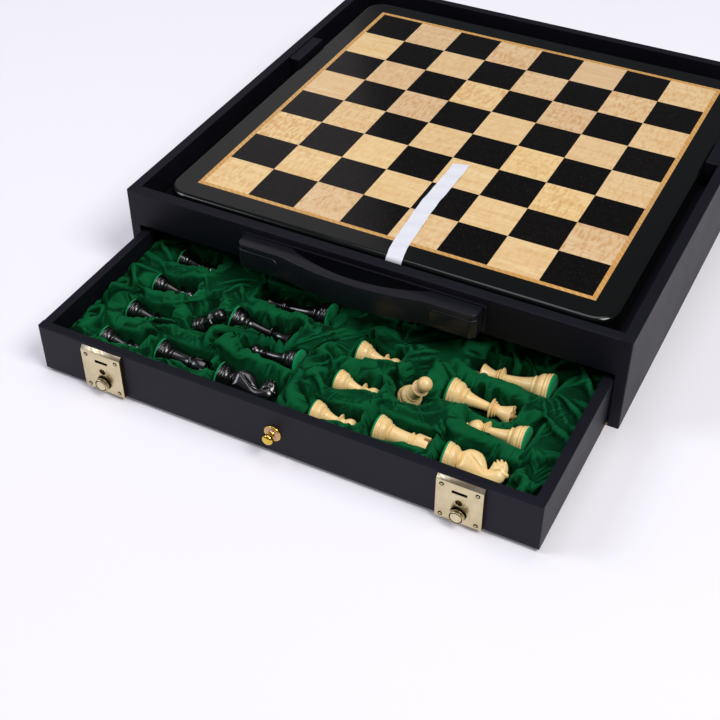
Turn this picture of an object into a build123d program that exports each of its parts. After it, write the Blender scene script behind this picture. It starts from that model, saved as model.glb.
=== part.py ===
"""Chess box: a square leatherette case with a loose board on top and a drawer for the men.

Origin: centre of the case's underside. +X right, -Y the front, +Z up. Millimetres.
The drawer stands part-way out, as it rests; every sub-part is one STEP file.
"""
from build123d import *
import math
import os

# ---- playing board ---------------------------------------------------------
squares_per_side = 8
inlay_width = 4.7        # maple line round the squares
border_width = 25.3      # black border outside the maple line
board_thickness = 20.0
veneer_thickness = 3.0   # squares and line are let in this deep
board_corner_radius = 24.0
board_edge_radius = 5.0
pad_diameter = 22.0      # felt pads under the board
pad_thickness = 1.5
pad_inset = 45.0

# ---- case ------------------------------------------------------------------
case_width = 508.0
case_depth = 508.0
case_height = 98.5
wall = 10.5
rail_height = 39.5       # front rail above the drawer opening
bottom_thickness = 3.0
deck_thickness = 6.0     # panel that carries the board
rim_above_board = 7.0
board_gap = 13.5         # finger room all round the board
edge_round = 1.2         # wrapped edges of the panels
cleat_width = 12.0
cleat_height = 5.0
spacer_length = 55.0     # blocks that keep the board central
spacer_front = 47.0      # where they start, measured from the case's middle
spacer_below_rim = 1.0
seat_gap = 0.3           # soft or sliding pieces lie this far from their seat

# ---- drawer ----------------------------------------------------------------
drawer_height = 50.0
drawer_depth = 315.0
drawer_side_gap = 0.9
drawer_bottom_gap = 0.3
drawer_pulled_out = 164.0   # as it stands at rest
drawer_more_travel = 100.0  # from rest to the stops
drawer_front_thickness = 8.5
drawer_side_thickness = 9.5
drawer_back_thickness = 8.0
drawer_bottom_thickness = 3.0
stop_block_width = 30.0
stop_block_drop = 1.5       # the stop blocks clear the drawer's sides by this
stop_tab_rise = 4.7
stop_spacing = 200.0
stop_gap = 0.5
rear_stop_height = 12.0
rear_stop_depth = 10.0

# ---- velvet lining ---------------------------------------------------------
lining_top_below_rim = 22.0    # padded field between the pockets
lining_roll_below_rim = 16.5   # padded roll along the drawer's walls
lining_roll_width = 9.0
lining_ridge_rise = 3.0        # padded ridges across the drawer between the rows of men
lining_ridge_width = 20.0
pocket_clearance = 0.8

# ---- handle ----------------------------------------------------------------
handle_length = 240.0
handle_height = 25.5
handle_depth = 16.0
handle_top_below_rim = 8.5
handle_bow = 8.5             # the grip swells forward by this in the middle
handle_corner_radius = 7.0
finger_gap_length = 141.0
grip_thickness = 8.5
backing_thickness = 2.0
backing_margin = 3.5
cover_length = 44.0
cover_height = 14.5
cover_proud = 0.8
handle_screw_diameter = 4.0
handle_screw_head = 8.0
handle_screw_inset = 22.0
screw_clearance = 0.4       # on the diameter

# ---- locks -----------------------------------------------------------------
lock_spacing = 346.8         # centre to centre
lock_width = 41.5
lock_height = 46.0
lock_depth = 3.5
lock_skin = 1.2
lock_above_drawer_base = 1.2
rivet_head = 3.8
rivet_shank = 2.5
rivet_height = 0.6
rivet_side_inset = 5.0
rivet_top_inset = 7.5
rivet_bottom_inset = 3.8
slot_width = 13.6
slot_height = 2.4
slot_above_plate_base = 33.8
keyhole_width = 6.0
keyhole_height = 4.2
keyhole_above_plate_base = 22.9
barrel_diameter = 5.0
button_diameter = 12.2
button_above_plate_base = 10.5
button_proud = 6.5           # beyond the plate's face
button_travel = 3.0
button_fit = 0.2             # radial clearance in the plate and bezel
bezel_diameter = 14.4
bezel_proud = 2.0
cam_flange_diameter = 16.0
housing_width = 26.0
housing_wall = 0.8
housing_margin = 1.5         # housing inside the plate's outline, top and bottom
catch_width = 20.0
catch_thickness = 1.5
catch_bar = 2.0
catch_tongue = 5.0
catch_above_slot = 1.5       # the tongue ends this far above the hasp slot
catch_window_margin = 3.0    # round the key barrel
cam_step = 4.0               # the catch rests where the cone is this much narrower in radius
button_ring_inset = 1.2
button_ring_width = 0.6
button_ring_depth = 0.4
button_end_gap = 0.2
key_slit_width = 0.8
key_slit_depth = 2.0
spring_diameter = 4.0
spring_wire = 0.6
spring_turns = 4

# ---- drawer knob -----------------------------------------------------------
knob_above_drawer_base = 22.7
knob_flange_diameter = 16.2
knob_head_diameter = 10.6
knob_length = 13.0
knob_screw_diameter = 4.0
knob_screw_head_depth = 2.5

# ---- ribbon ----------------------------------------------------------------
ribbon_width = 16.0
ribbon_thickness = 0.4
ribbon_gap = 0.1             # from the board's faces
ribbon_on_top = 172.0        # visible length, from the board's front edge to the cut end
ribbon_under = 60.0
ribbon_front_x = 20.0        # middle of the ribbon at the board's front edge
ribbon_drift = -7.5          # sideways run of the lying part
ribbon_sway = 3.0            # of its long edges, halfway along
ribbon_cut_slant = 6.4       # one corner of the cut end lies this far behind the other

# ---- chessmen: overall height and base diameter, in playing squares --------
MEN = {
    "king": (1.48, 0.60),
    "queen": (1.28, 0.56),
    "bishop": (1.12, 0.52),
    "knight": (1.12, 0.52),
    "rook": (0.96, 0.52),
    "pawn": (0.85, 0.46),
}
felt_thickness = 0.8
felt_inset = 0.8                # felts are this much smaller in radius than the foot
axis_above_drawer_base = 21.3   # the middle of a lying man's foot is at this height
half_spacing = 4.39             # squares from the dark half of the drawer to the light half
pawn_pitch = 0.882              # squares from one pawn of the column to the next
pawn_rows = 6

lying_droop = 4.0               # degrees: a lying man's narrow head is lower than its foot
leaning_droop = -40.0           # degrees: two pawns of each colour lean with their heads up

# where the dark men's bases lie: (kind, squares from the drawer's left and from its front, heading, droop)
PAWN_COLUMN = (0.81, 0.80)
FRONT_HALF = [
    ("pawn", 2.18, 1.83, 0.0, leaning_droop),
    ("rook", 1.97, 0.934, 0.0, lying_droop),
    ("knight", 3.27, 0.868, 7.0, lying_droop),
    ("bishop", 4.37, 1.79, 181.0, lying_droop),
]
MIDDLE = [
    ("queen", 2.70, 2.328, 0.0, lying_droop),
    ("king", 4.30, 3.174, 182.0, lying_droop),
]

# ---- derived places --------------------------------------------------------
board_side = min(case_width, case_depth) - 2 * (wall + board_gap)
playing_side = board_side - 2 * (inlay_width + border_width)
square = playing_side / squares_per_side
board_top = case_height - rim_above_board
board_base_z = board_top - board_thickness
deck_top = board_base_z - pad_thickness
deck_base = deck_top - deck_thickness
opening_top = case_height - rail_height
inner_width = case_width - 2 * wall
case_front = -case_depth / 2
inner_front = case_front + wall
inner_back = case_depth / 2 - wall

drawer_width = inner_width - 2 * drawer_side_gap
drawer_base = bottom_thickness + drawer_bottom_gap
drawer_top = drawer_base + drawer_height
drawer_front = case_front - drawer_pulled_out
drawer_back = drawer_front + drawer_depth
drawer_left = -drawer_width / 2
drawer_floor = drawer_base + drawer_bottom_thickness
lock_centres = (-lock_spacing / 2, lock_spacing / 2)
lock_base = drawer_base + lock_above_drawer_base
lock_top = lock_base + lock_height
plate_face = drawer_front - lock_depth
button_z = lock_base + button_above_plate_base
barrel_z = lock_base + keyhole_above_plate_base
slot_z = lock_base + slot_above_plate_base
housing_depth = drawer_front_thickness - seat_gap
housing_base = lock_base + housing_margin
housing_top = lock_top - housing_margin
knob_z = drawer_base + knob_above_drawer_base
handle_top = case_height - handle_top_below_rim
handle_base = handle_top - handle_height
handle_seat = case_front - backing_thickness
handle_front = handle_seat - handle_depth


def span_box(x0, x1, y0, y1, z0, z1):
    """A box between two corners."""
    return Pos((x0 + x1) / 2, (y0 + y1) / 2, (z0 + z1) / 2) * Box(x1 - x0, y1 - y0, z1 - z0)


def y_cylinder(x, z, y0, y1, diameter):
    """A round bar along Y, from y0 to y1."""
    return Pos(x, (y0 + y1) / 2, z) * Rot(90, 0, 0) * Cylinder(diameter / 2, y1 - y0)


def group(solids):
    """Separate solids that share one node."""
    return Compound(children=list(solids))


# ---- case ------------------------------------------------------------------
def side_wall(side):
    """A full-depth side panel, its outside edges rounded. side is -1 left or 1 right."""
    outer, inner = side * case_width / 2, side * (case_width / 2 - wall)
    panel = span_box(min(outer, inner), max(outer, inner), case_front, -case_front, 0, case_height)
    outside = panel.edges().filter_by(lambda e: abs(e.center().X - outer) < 0.01)
    return fillet(outside.filter_by(lambda e: e.center().Z > 0.01), edge_round)


def back_wall():
    panel = span_box(-inner_width / 2, inner_width / 2, inner_back, -case_front, 0, case_height)
    return fillet(panel.edges().filter_by(Axis.X).sort_by(Axis.Y)[-2:].sort_by(Axis.Z)[-1], edge_round)


def front_rail():
    rail = span_box(-inner_width / 2, inner_width / 2, case_front, inner_front, opening_top, case_height)
    rail = fillet(rail.edges().filter_by(Axis.X).sort_by(Axis.Y)[:2], edge_round)
    for x in handle_screw_places():
        rail -= y_cylinder(x, handle_middle_z(), case_front - 1, inner_front + 1,
                           handle_screw_diameter + screw_clearance)
    return rail


def case_bottom():
    return span_box(-inner_width / 2, inner_width / 2, case_front, inner_back, 0, bottom_thickness)


def board_deck():
    return span_box(-inner_width / 2, inner_width / 2, inner_front, inner_back, deck_base, deck_top)


def deck_cleats():
    """Strips on the side walls that carry the deck, clear of the handle's screws."""
    strips = []
    for side in (-1, 1):
        x0, x1 = sorted((side * inner_width / 2, side * (inner_width / 2 - cleat_width)))
        strips.append(span_box(x0, x1, inner_front, inner_back, deck_base - cleat_height, deck_base))
    return group(strips)


def board_spacers():
    """Covered blocks that close the side gaps behind the finger room."""
    blocks = []
    for side in (-1, 1):
        x0, x1 = sorted((side * (board_side / 2 + seat_gap), side * inner_width / 2))
        block = span_box(x0, x1, spacer_front, spacer_front + spacer_length,
                         deck_top, case_height - spacer_below_rim)
        top_edges = block.edges().filter_by(Axis.X).sort_by(Axis.Z)[-2:]
        blocks.append(fillet(block.edges().filter_by(Axis.Z) + top_edges, edge_round))
    return group(blocks)


def drawer_stops():
    """Two blocks behind the rail stop the drawer's tabs; two on the floor stop its back."""
    blocks = []
    tab_front = drawer_back - drawer_back_thickness - drawer_more_travel
    closed_back = drawer_back + drawer_pulled_out
    for side in (-1, 1):
        x = side * stop_spacing / 2
        blocks.append(span_box(x - stop_block_width / 2, x + stop_block_width / 2, inner_front,
                               tab_front - stop_gap, drawer_top + stop_block_drop, deck_base))
        blocks.append(span_box(x - stop_block_width / 2, x + stop_block_width / 2, closed_back + stop_gap,
                               closed_back + stop_gap + rear_stop_depth, bottom_thickness,
                               bottom_thickness + rear_stop_height))
    return group(blocks)


# ---- handle ----------------------------------------------------------------
def handle_middle_z():
    return (handle_top + handle_base) / 2


def handle_screw_places():
    reach = handle_length / 2 - handle_screw_inset
    return (-reach, reach)


def handle_backing_plate():
    half = handle_length / 2 + backing_margin
    plate = span_box(-half, half, handle_seat, case_front,
                     handle_base - backing_margin / 2, handle_top + backing_margin / 2)
    plate = fillet(plate.edges().filter_by(Axis.Y), backing_margin)
    for x in handle_screw_places():
        plate -= y_cylinder(x, handle_middle_z(), handle_seat - 1, case_front + 1,
                            handle_screw_diameter + screw_clearance)
    return plate


def grip_body():
    """A moulded bar whose middle bows forward, leaving a finger opening behind it."""
    half, gap_half = handle_length / 2, finger_gap_length / 2
    swell = Sketch() + make_face(Wire([
        Line((-half, handle_seat), (half, handle_seat)),
        Line((half, handle_seat), (half, handle_front)),
        Line((half, handle_front), (gap_half, handle_front)),
        ThreePointArc((gap_half, handle_front), (0, handle_front - handle_bow), (-gap_half, handle_front)),
        Line((-gap_half, handle_front), (-half, handle_front)),
        Line((-half, handle_front), (-half, handle_seat)),
    ]))
    crescent = make_face(Wire([
        Line((-gap_half, handle_seat), (gap_half, handle_seat)),
        ThreePointArc((gap_half, handle_seat), (0, handle_front - handle_bow + grip_thickness),
                      (-gap_half, handle_seat)),
    ]))
    outline = swell - crescent
    grip = Pos(0, 0, handle_base) * extrude(outline, handle_height)
    ends = grip.edges().filter_by(Axis.Z).filter_by(
        lambda e: abs(abs(e.center().X) - half) < 0.01 and abs(e.center().Y - handle_front) < 0.01)
    return fillet(ends, handle_corner_radius)


def handle_grip():
    """The bar with its screw holes."""
    grip = grip_body()
    for x in handle_screw_places():
        grip -= y_cylinder(x, handle_middle_z(), handle_seat - handle_depth * 0.6, handle_seat + 1,
                           handle_screw_diameter)
    return grip


def cover_solid(side):
    """A raised cover on one end of the grip; it wraps round the end."""
    half = handle_length / 2
    radius = handle_corner_radius + cover_proud
    x0, x1 = half - cover_length, half + cover_proud
    face = RectangleRounded(x1 - x0 + radius * 2, handle_depth * 2 + cover_proud, radius)
    outer = Pos(x1 - (x1 - x0 + radius * 2) / 2, handle_seat - (handle_depth * 2 + cover_proud) / 2
                + handle_depth, 0) * face
    block = Pos(0, 0, handle_middle_z() - cover_height / 2) * extrude(outer, cover_height)
    keep = span_box(x0, x1 + 1, handle_front - 2 * cover_proud, handle_seat - cover_proud,
                    handle_base, handle_top)
    round_middle = x0 + cover_height / 2
    inner_end = span_box(x0 - 1, round_middle, handle_front - 2 * cover_proud, handle_seat,
                         handle_base, handle_top)
    inner_end -= y_cylinder(round_middle, handle_middle_z(), handle_front - 3 * cover_proud,
                            handle_seat + 1, cover_height)
    block = (block & keep) - inner_end - grip_body()
    return block if side > 0 else mirror(block, about=Plane.YZ)


def handle_end_covers():
    return group(cover_solid(side) for side in (-1, 1))


def handle_screws():
    """Screws from behind the rail into the ends of the grip."""
    screws = []
    for x in handle_screw_places():
        z = handle_middle_z()
        shank = y_cylinder(x, z, handle_seat - handle_depth * 0.5, inner_front, handle_screw_diameter - 0.2)
        screws.append(shank + y_cylinder(x, z, inner_front, inner_front + 2.0, handle_screw_head))
    return group(screws)


# ---- board -----------------------------------------------------------------
def board_base():
    half = board_side / 2
    slab = span_box(-half, half, -half, half, board_base_z, board_top)
    slab = fillet(slab.edges().filter_by(Axis.Z), board_corner_radius)
    rims = slab.edges().group_by(Axis.Z)
    slab = fillet(rims[-1] + rims[0], board_edge_radius)
    field = playing_side / 2 + inlay_width
    return slab - span_box(-field, field, -field, field, board_top - veneer_thickness, board_top + 1)


def board_squares(parity):
    """Every other square. Parity 0 holds the front-left square, which is light."""
    low = -playing_side / 2
    return group(
        span_box(low + i * square, low + (i + 1) * square, low + j * square, low + (j + 1) * square,
                 board_top - veneer_thickness, board_top)
        for i in range(squares_per_side) for j in range(squares_per_side) if (i + j) % 2 == parity)


def inlay_line():
    inner, outer = playing_side / 2, playing_side / 2 + inlay_width
    z0 = board_top - veneer_thickness
    return span_box(-outer, outer, -outer, outer, z0, board_top) - span_box(
        -inner, inner, -inner, inner, z0 - 1, board_top + 1)


def board_pads():
    reach = board_side / 2 - pad_inset
    return group(Pos(x, y, deck_top + pad_thickness / 2) * Cylinder(pad_diameter / 2, pad_thickness)
                 for x in (-reach, reach) for y in (-reach, reach))


def lifting_ribbon():
    """A satin ribbon from under the board, up its front edge and back over its top."""
    front = -board_side / 2
    half, skin = ribbon_width / 2, ribbon_thickness
    x0, x1 = ribbon_front_x, ribbon_front_x + ribbon_drift
    y_end = front + ribbon_on_top
    top = make_face(Wire([
        Line((x0 - half, front), (x0 + half, front)),
        ThreePointArc((x0 + half, front),
                      ((x0 + x1) / 2 + half - ribbon_sway, (front + y_end) / 2), (x1 + half, y_end)),
        Line((x1 + half, y_end), (x1 - half, y_end - ribbon_cut_slant)),
        ThreePointArc((x1 - half, y_end - ribbon_cut_slant),
                      ((x0 + x1) / 2 - half - ribbon_sway, (front + y_end) / 2), (x0 - half, front)),
    ]))
    low, high = board_base_z - ribbon_gap, board_top + ribbon_gap
    face = front - ribbon_gap
    lying = Pos(0, 0, high) * extrude(top, skin)
    edge = span_box(x0 - half, x0 + half, face - skin, face, low - skin, high + skin)
    lip = span_box(x0 - half, x0 + half, face - skin, front, high, high + skin)
    under = span_box(x0 - half, x0 + half, face - skin, front + ribbon_under, low - skin, low)
    return lying + lip + edge + under


# ---- drawer ----------------------------------------------------------------
def lock_cutouts(oversize):
    """The room that a lock housing takes in the drawer's front."""
    return [span_box(x - housing_width / 2 - oversize, x + housing_width / 2 + oversize,
                     drawer_front - 1, drawer_front + drawer_front_thickness + 1,
                     housing_base - oversize, housing_top + oversize) for x in lock_centres]


def rivet_places():
    half = lock_width / 2 - rivet_side_inset
    heights = (lock_base + rivet_bottom_inset, lock_top - rivet_top_inset)
    return [(x + dx, z) for x in lock_centres for dx in (-half, half) for z in heights]


def drawer_front_panel():
    panel = span_box(-drawer_width / 2, drawer_width / 2, drawer_front,
                     drawer_front + drawer_front_thickness, drawer_base, drawer_top)
    rounded = panel.edges().filter_by(lambda e: abs(e.center().Y - drawer_front) < 0.01)
    panel = fillet(rounded, edge_round)
    for cut in lock_cutouts(0.1):
        panel -= cut
    for x, z in rivet_places():
        panel -= y_cylinder(x, z, drawer_front - 1, drawer_front + drawer_front_thickness - 0.5, rivet_shank)
    inside = drawer_front + drawer_front_thickness
    panel -= y_cylinder(0, knob_z, drawer_front - 1, inside, knob_screw_diameter + 0.2)
    return panel - y_cylinder(0, knob_z, inside - knob_screw_head_depth, inside + 1,
                              knob_screw_diameter * 2 + 0.2)


def drawer_side(side):
    outer, inner = side * drawer_width / 2, side * (drawer_width / 2 - drawer_side_thickness)
    panel = span_box(min(outer, inner), max(outer, inner), drawer_front + drawer_front_thickness,
                     drawer_back, drawer_base, drawer_top)
    top_outer = panel.edges().filter_by(Axis.Y).filter_by(
        lambda e: abs(e.center().X - outer) < 0.01 and e.center().Z > drawer_top - 0.01)
    return fillet(top_outer, edge_round)


def drawer_back_panel():
    half = drawer_width / 2 - drawer_side_thickness
    panel = span_box(-half, half, drawer_back - drawer_back_thickness, drawer_back, drawer_base, drawer_top)
    for side in (-1, 1):
        x = side * stop_spacing / 2
        panel += span_box(x - stop_block_width / 2, x + stop_block_width / 2,
                          drawer_back - drawer_back_thickness, drawer_back,
                          drawer_top, drawer_top + stop_tab_rise)
    return panel


def drawer_bottom():
    half = drawer_width / 2 - drawer_side_thickness
    return span_box(-half, half, drawer_front + drawer_front_thickness,
                    drawer_back - drawer_back_thickness, drawer_base, drawer_floor)


# ---- chessmen --------------------------------------------------------------
def man_places():
    """Every man as (kind, colour, x, y, heading, droop): the back half mirrors the front half."""
    fold = (drawer_depth + drawer_front_thickness - drawer_back_thickness) / square
    layout = [("pawn", PAWN_COLUMN[0], PAWN_COLUMN[1] + row * pawn_pitch, 0.0, lying_droop)
              for row in range(pawn_rows)]
    layout += FRONT_HALF + MIDDLE
    layout += [(kind, x, fold - y, -heading, droop) for kind, x, y, heading, droop in FRONT_HALF]
    return [(kind, colour, drawer_left + (x + shift) * square, drawer_front + y * square, heading, droop)
            for colour, shift in (("dark", 0.0), ("light", half_spacing))
            for kind, x, y, heading, droop in layout]


def man_size(kind):
    """Height and base diameter of one man."""
    return [square * share for share in MEN[kind]]


def foot_height(kind, droop):
    """Height of the middle of a man's foot: a leaning man's foot settles lower than a lying one's."""
    settle = man_size(kind)[1] / 2 * (1 - math.cos(math.radians(droop)))
    return drawer_base + axis_above_drawer_base - settle


def lay_down(solid, kind, x, y, heading, droop):
    """Turns an upright man onto its side, its base at x, y and its head towards the heading."""
    return Pos(x, y, foot_height(kind, droop)) * Rot(0, 0, heading) * Rot(0, 90 + droop, 0) * solid


def turned(outline, z0=0.0):
    """A turned body from (radius, height) points joined by straight cuts."""
    points = [(0.0, outline[0][1])] + list(outline) + [(0.0, outline[-1][1])]
    face = make_face(Polyline([(r, z) for r, z in points], close=True))
    return Pos(0, 0, z0) * revolve(Plane.XZ * face, Axis.Z)


def foot_outline(base, height, neck):
    """Foot, base roll and waist, common to all the men. Radii from the base, heights from the total."""
    r = base / 2
    return [(r, 0.0), (r, height * 0.06), (r * 0.86, height * 0.085), (r * 0.9, height * 0.13),
            (r * 0.78, height * 0.17), (r * 0.58, height * 0.24), (neck, height * 0.42)]


def pawn():
    height, base = man_size("pawn")
    r = base / 2
    head = r * 0.62
    body = turned(foot_outline(base, height, r * 0.36) + [
        (r * 0.34, height * 0.60), (r * 0.62, height * 0.64), (r * 0.34, height * 0.69)])
    return body + Pos(0, 0, height - head) * Sphere(head)


def rook():
    height, base = man_size("rook")
    r = base / 2
    body = turned(foot_outline(base, height, r * 0.52) + [
        (r * 0.50, height * 0.66), (r * 0.76, height * 0.70), (r * 0.60, height * 0.75),
        (r * 0.74, height * 0.86), (r * 0.74, height)])
    body -= Pos(0, 0, height) * Cylinder(r * 0.5, height * 0.16)
    notch = height * 0.08
    for turn in range(3):
        body -= Pos(0, 0, height) * Rot(0, 0, turn * 60) * Box(base, r * 0.2, notch)
    return body


def bishop():
    height, base = man_size("bishop")
    r = base / 2
    body = turned(foot_outline(base, height, r * 0.40) + [
        (r * 0.34, height * 0.56), (r * 0.66, height * 0.60), (r * 0.36, height * 0.64),
        (r * 0.54, height * 0.72), (r * 0.56, height * 0.78), (r * 0.40, height * 0.88),
        (r * 0.14, height * 0.94)]) + Pos(0, 0, height - r * 0.16) * Sphere(r * 0.16)
    body += Pos(0, 0, height * 0.945) * Cylinder(r * 0.13, height * 0.06)
    slit = Pos(r * 0.45, 0, height * 0.82) * Rot(0, 35, 0) * Box(r * 0.7, base, r * 0.1)
    return body - slit


def queen():
    height, base = man_size("queen")
    r = base / 2
    body = turned(foot_outline(base, height, r * 0.42) + [
        (r * 0.34, height * 0.62), (r * 0.68, height * 0.66), (r * 0.36, height * 0.70),
        (r * 0.42, height * 0.78), (r * 0.68, height * 0.91), (r * 0.50, height * 0.93),
        (r * 0.2, height * 0.955)])
    for turn in range(8):
        body -= Pos(0, 0, height * 0.93) * Rot(0, 0, turn * 45) * Pos(r * 0.68, 0, 0) * Rot(
            0, 90, 0) * Cylinder(r * 0.12, r * 0.3)
    return body + Pos(0, 0, height - r * 0.17) * Sphere(r * 0.17)


def king():
    height, base = man_size("king")
    r = base / 2
    body = turned(foot_outline(base, height, r * 0.44) + [
        (r * 0.34, height * 0.60), (r * 0.68, height * 0.64), (r * 0.36, height * 0.68),
        (r * 0.42, height * 0.74), (r * 0.62, height * 0.85), (r * 0.30, height * 0.89),
        (r * 0.12, height * 0.905)])
    cross = height * 0.1
    body += Pos(0, 0, height - cross / 2) * Box(r * 0.16, r * 0.16, cross)
    return body + Pos(0, 0, height - cross * 0.42) * Box(r * 0.16, r * 0.5, r * 0.16)


def knight():
    height, base = man_size("knight")
    r = base / 2
    foot = turned(foot_outline(base, height, r * 0.6)[:5]
                  + [(r * 0.62, height * 0.2), (r * 0.62, height * 0.24)])
    z0 = height * 0.22
    profile = make_face(Wire([
        Line((-r * 0.62, z0), (r * 0.55, z0)),
        ThreePointArc((r * 0.55, z0), (r * 0.25, height * 0.42), (r * 0.32, height * 0.55)),
        Line((r * 0.32, height * 0.55), (r * 0.86, height * 0.58)),
        ThreePointArc((r * 0.86, height * 0.58), (r * 0.95, height * 0.66), (r * 0.72, height * 0.72)),
        Line((r * 0.72, height * 0.72), (r * 0.2, height * 0.92)),
        Line((r * 0.2, height * 0.92), (r * 0.05, height)),
        Line((r * 0.05, height), (-r * 0.12, height * 0.93)),
        ThreePointArc((-r * 0.12, height * 0.93), (-r * 0.75, height * 0.62), (-r * 0.62, z0)),
    ]))
    head = extrude(Plane.XZ * profile, r * 0.36, both=True)
    return foot + Rot(0, 0, 180) * head


MAKERS = {"king": king, "queen": queen, "bishop": bishop, "knight": knight, "rook": rook, "pawn": pawn}


def chessmen(colour, kind):
    """All the men of one kind and colour, lying in their pockets."""
    man = MAKERS[kind]()
    return group(lay_down(man, kind, x, y, heading, droop)
                 for k, c, x, y, heading, droop in man_places() if (k, c) == (kind, colour))


def base_felts(colour):
    """The felt discs under the men's feet."""
    discs = []
    for kind, c, x, y, heading, droop in man_places():
        if c == colour:
            radius = man_size(kind)[1] / 2 - felt_inset
            disc = Pos(0, 0, -felt_thickness / 2) * Cylinder(radius, felt_thickness)
            discs.append(lay_down(disc, kind, x, y, heading, droop))
    return group(discs)


def pocket(kind, x, y, heading, droop):
    """The hollow that one man lies in: a tapered trough, open upwards."""
    height, base = man_size(kind)
    c = pocket_clearance
    foot_r, head_r = base / 2 + c, base * 0.36 + c
    low, high = -felt_thickness - c, height + c
    trough = Pos(0, 0, (low + high) / 2) * Cone(foot_r, head_r, high - low)
    run, sink = math.cos(math.radians(droop)), math.sin(math.radians(droop))
    start, end = low * run - foot_r * abs(sink), high * run + head_r * abs(sink)
    plan = make_face(Polyline([(start, -foot_r), (start, foot_r), (end, head_r), (end, -head_r)], close=True))
    lower_end = foot_height(kind, droop) - max(sink, 0) * height
    shaft = Pos(x, y, lower_end) * Rot(0, 0, heading) * extrude(plan, drawer_height)
    return lay_down(trough, kind, x, y, heading, droop) + shaft


def velvet_lining():
    """Padded lining: a rolled border, soft ridges between the rows and one pocket for each man."""
    half = drawer_width / 2 - drawer_side_thickness - seat_gap
    y0 = drawer_front + drawer_front_thickness + seat_gap
    y1 = drawer_back - drawer_back_thickness - seat_gap
    roll_top = drawer_top - lining_roll_below_rim
    field_top = drawer_top - lining_top_below_rim
    pad = span_box(-half, half, y0, y1, drawer_floor + seat_gap, roll_top)
    w = lining_roll_width
    hollow = span_box(-half + w, half - w, y0 + w, y1 - w, field_top, roll_top + 1)
    pad -= hollow
    rims = pad.edges().group_by(Axis.Z)[-1]
    pad = fillet(rims, lining_roll_width * 0.45)
    chord = lining_ridge_width / 2
    swell = Plane.YZ * make_face(Wire([
        Line((-chord, 0), (chord, 0)),
        ThreePointArc((chord, 0), (0, lining_ridge_rise), (-chord, 0)),
    ]))
    for row in range(pawn_rows - 1):
        y = drawer_front + (PAWN_COLUMN[1] + (row + 0.5) * pawn_pitch) * square
        pad += Pos(0, y, field_top) * extrude(swell, half - w, both=True)
    for kind, _, x, y, heading, droop in man_places():
        pad -= pocket(kind, x, y, heading, droop)
    return pad


# ---- knob ------------------------------------------------------------------
def knob():
    """A turned pull: flange, neck and domed head, along -Y."""
    f, h, n = knob_flange_diameter / 2, knob_head_diameter / 2, knob_length
    outline = make_face(Wire([
        Line((0, 0), (f, 0)),
        Line((f, 0), (f, n * 0.08)),
        ThreePointArc((f, n * 0.08), (f * 0.72, n * 0.17), (f * 0.42, n * 0.22)),
        ThreePointArc((f * 0.42, n * 0.22), (f * 0.30, n * 0.36), (f * 0.42, n * 0.5)),
        ThreePointArc((f * 0.42, n * 0.5), (h, n * 0.74), (h * 0.55, n)),
        Line((h * 0.55, n), (0, n)),
        Line((0, n), (0, 0)),
    ]))
    solid = revolve(Plane.XZ * outline, Axis.Z)
    solid -= Pos(0, 0, n * 0.3) * Cylinder(knob_screw_diameter / 2, n * 0.6)
    return Pos(0, drawer_front, knob_z) * Rot(90, 0, 0) * solid


def knob_screw():
    inside = drawer_front + drawer_front_thickness
    shank = y_cylinder(0, knob_z, drawer_front - knob_length * 0.5, inside - knob_screw_head_depth,
                       knob_screw_diameter - 0.1)
    return shank + y_cylinder(0, knob_z, inside - knob_screw_head_depth, inside - seat_gap,
                              knob_screw_diameter * 2)


# ---- locks -----------------------------------------------------------------
def lock_plate(x):
    """A pressed plate with a rounded top, a hasp slot, a keyhole and the button's hole."""
    half = lock_width / 2
    plate = span_box(x - half, x + half, plate_face, drawer_front, lock_base, lock_top)
    front_top = plate.edges().filter_by(Axis.X).sort_by(Axis.Y)[:2].sort_by(Axis.Z)[-1]
    plate = fillet(front_top, lock_depth * 0.7)
    plate -= span_box(x - half + lock_skin, x + half - lock_skin, plate_face + lock_skin, drawer_front + 1,
                      lock_base + lock_skin, lock_top - lock_skin - lock_depth * 0.4)
    plate -= span_box(x - slot_width / 2, x + slot_width / 2, plate_face - 1, drawer_front,
                      slot_z - slot_height / 2, slot_z + slot_height / 2)
    plate -= Pos(x, plate_face, barrel_z) * Rot(90, 0, 0) * extrude(
        SlotOverall(keyhole_width, keyhole_height), lock_depth, both=True)
    plate -= y_cylinder(x, button_z, plate_face - 1, drawer_front + 1, button_diameter + 2 * button_fit)
    for rx, rz in rivet_places():
        if abs(rx - x) < lock_width:
            plate -= y_cylinder(rx, rz, plate_face - 1, drawer_front + 1, rivet_shank)
    return plate


def lock_rivets():
    rivets = []
    for x, z in rivet_places():
        shank = y_cylinder(x, z, plate_face, drawer_front + drawer_front_thickness - 0.5, rivet_shank - 0.1)
        head = y_cylinder(x, z, plate_face - rivet_height, plate_face, rivet_head)
        rivets.append(shank + chamfer(head.edges().sort_by(Axis.Y)[0], rivet_height * 0.6))
    return group(rivets)


def lock_bezels():
    rings = []
    for x in lock_centres:
        ring = y_cylinder(x, button_z, plate_face - bezel_proud, plate_face, bezel_diameter)
        rings.append(ring - y_cylinder(x, button_z, plate_face - bezel_proud - 1, plate_face + 1,
                                       button_diameter + 2 * button_fit))
    return group(rings)


def lock_housings():
    """Steel boxes let into the drawer's front behind the plates."""
    boxes = []
    for x in lock_centres:
        half, t = housing_width / 2, housing_wall
        box = span_box(x - half, x + half, drawer_front, drawer_front + housing_depth,
                       housing_base, housing_top)
        boxes.append(box - span_box(x - half + t, x + half - t, drawer_front - 1,
                                    drawer_front + housing_depth - t, housing_base + t, housing_top - t))
    return group(boxes)


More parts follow.
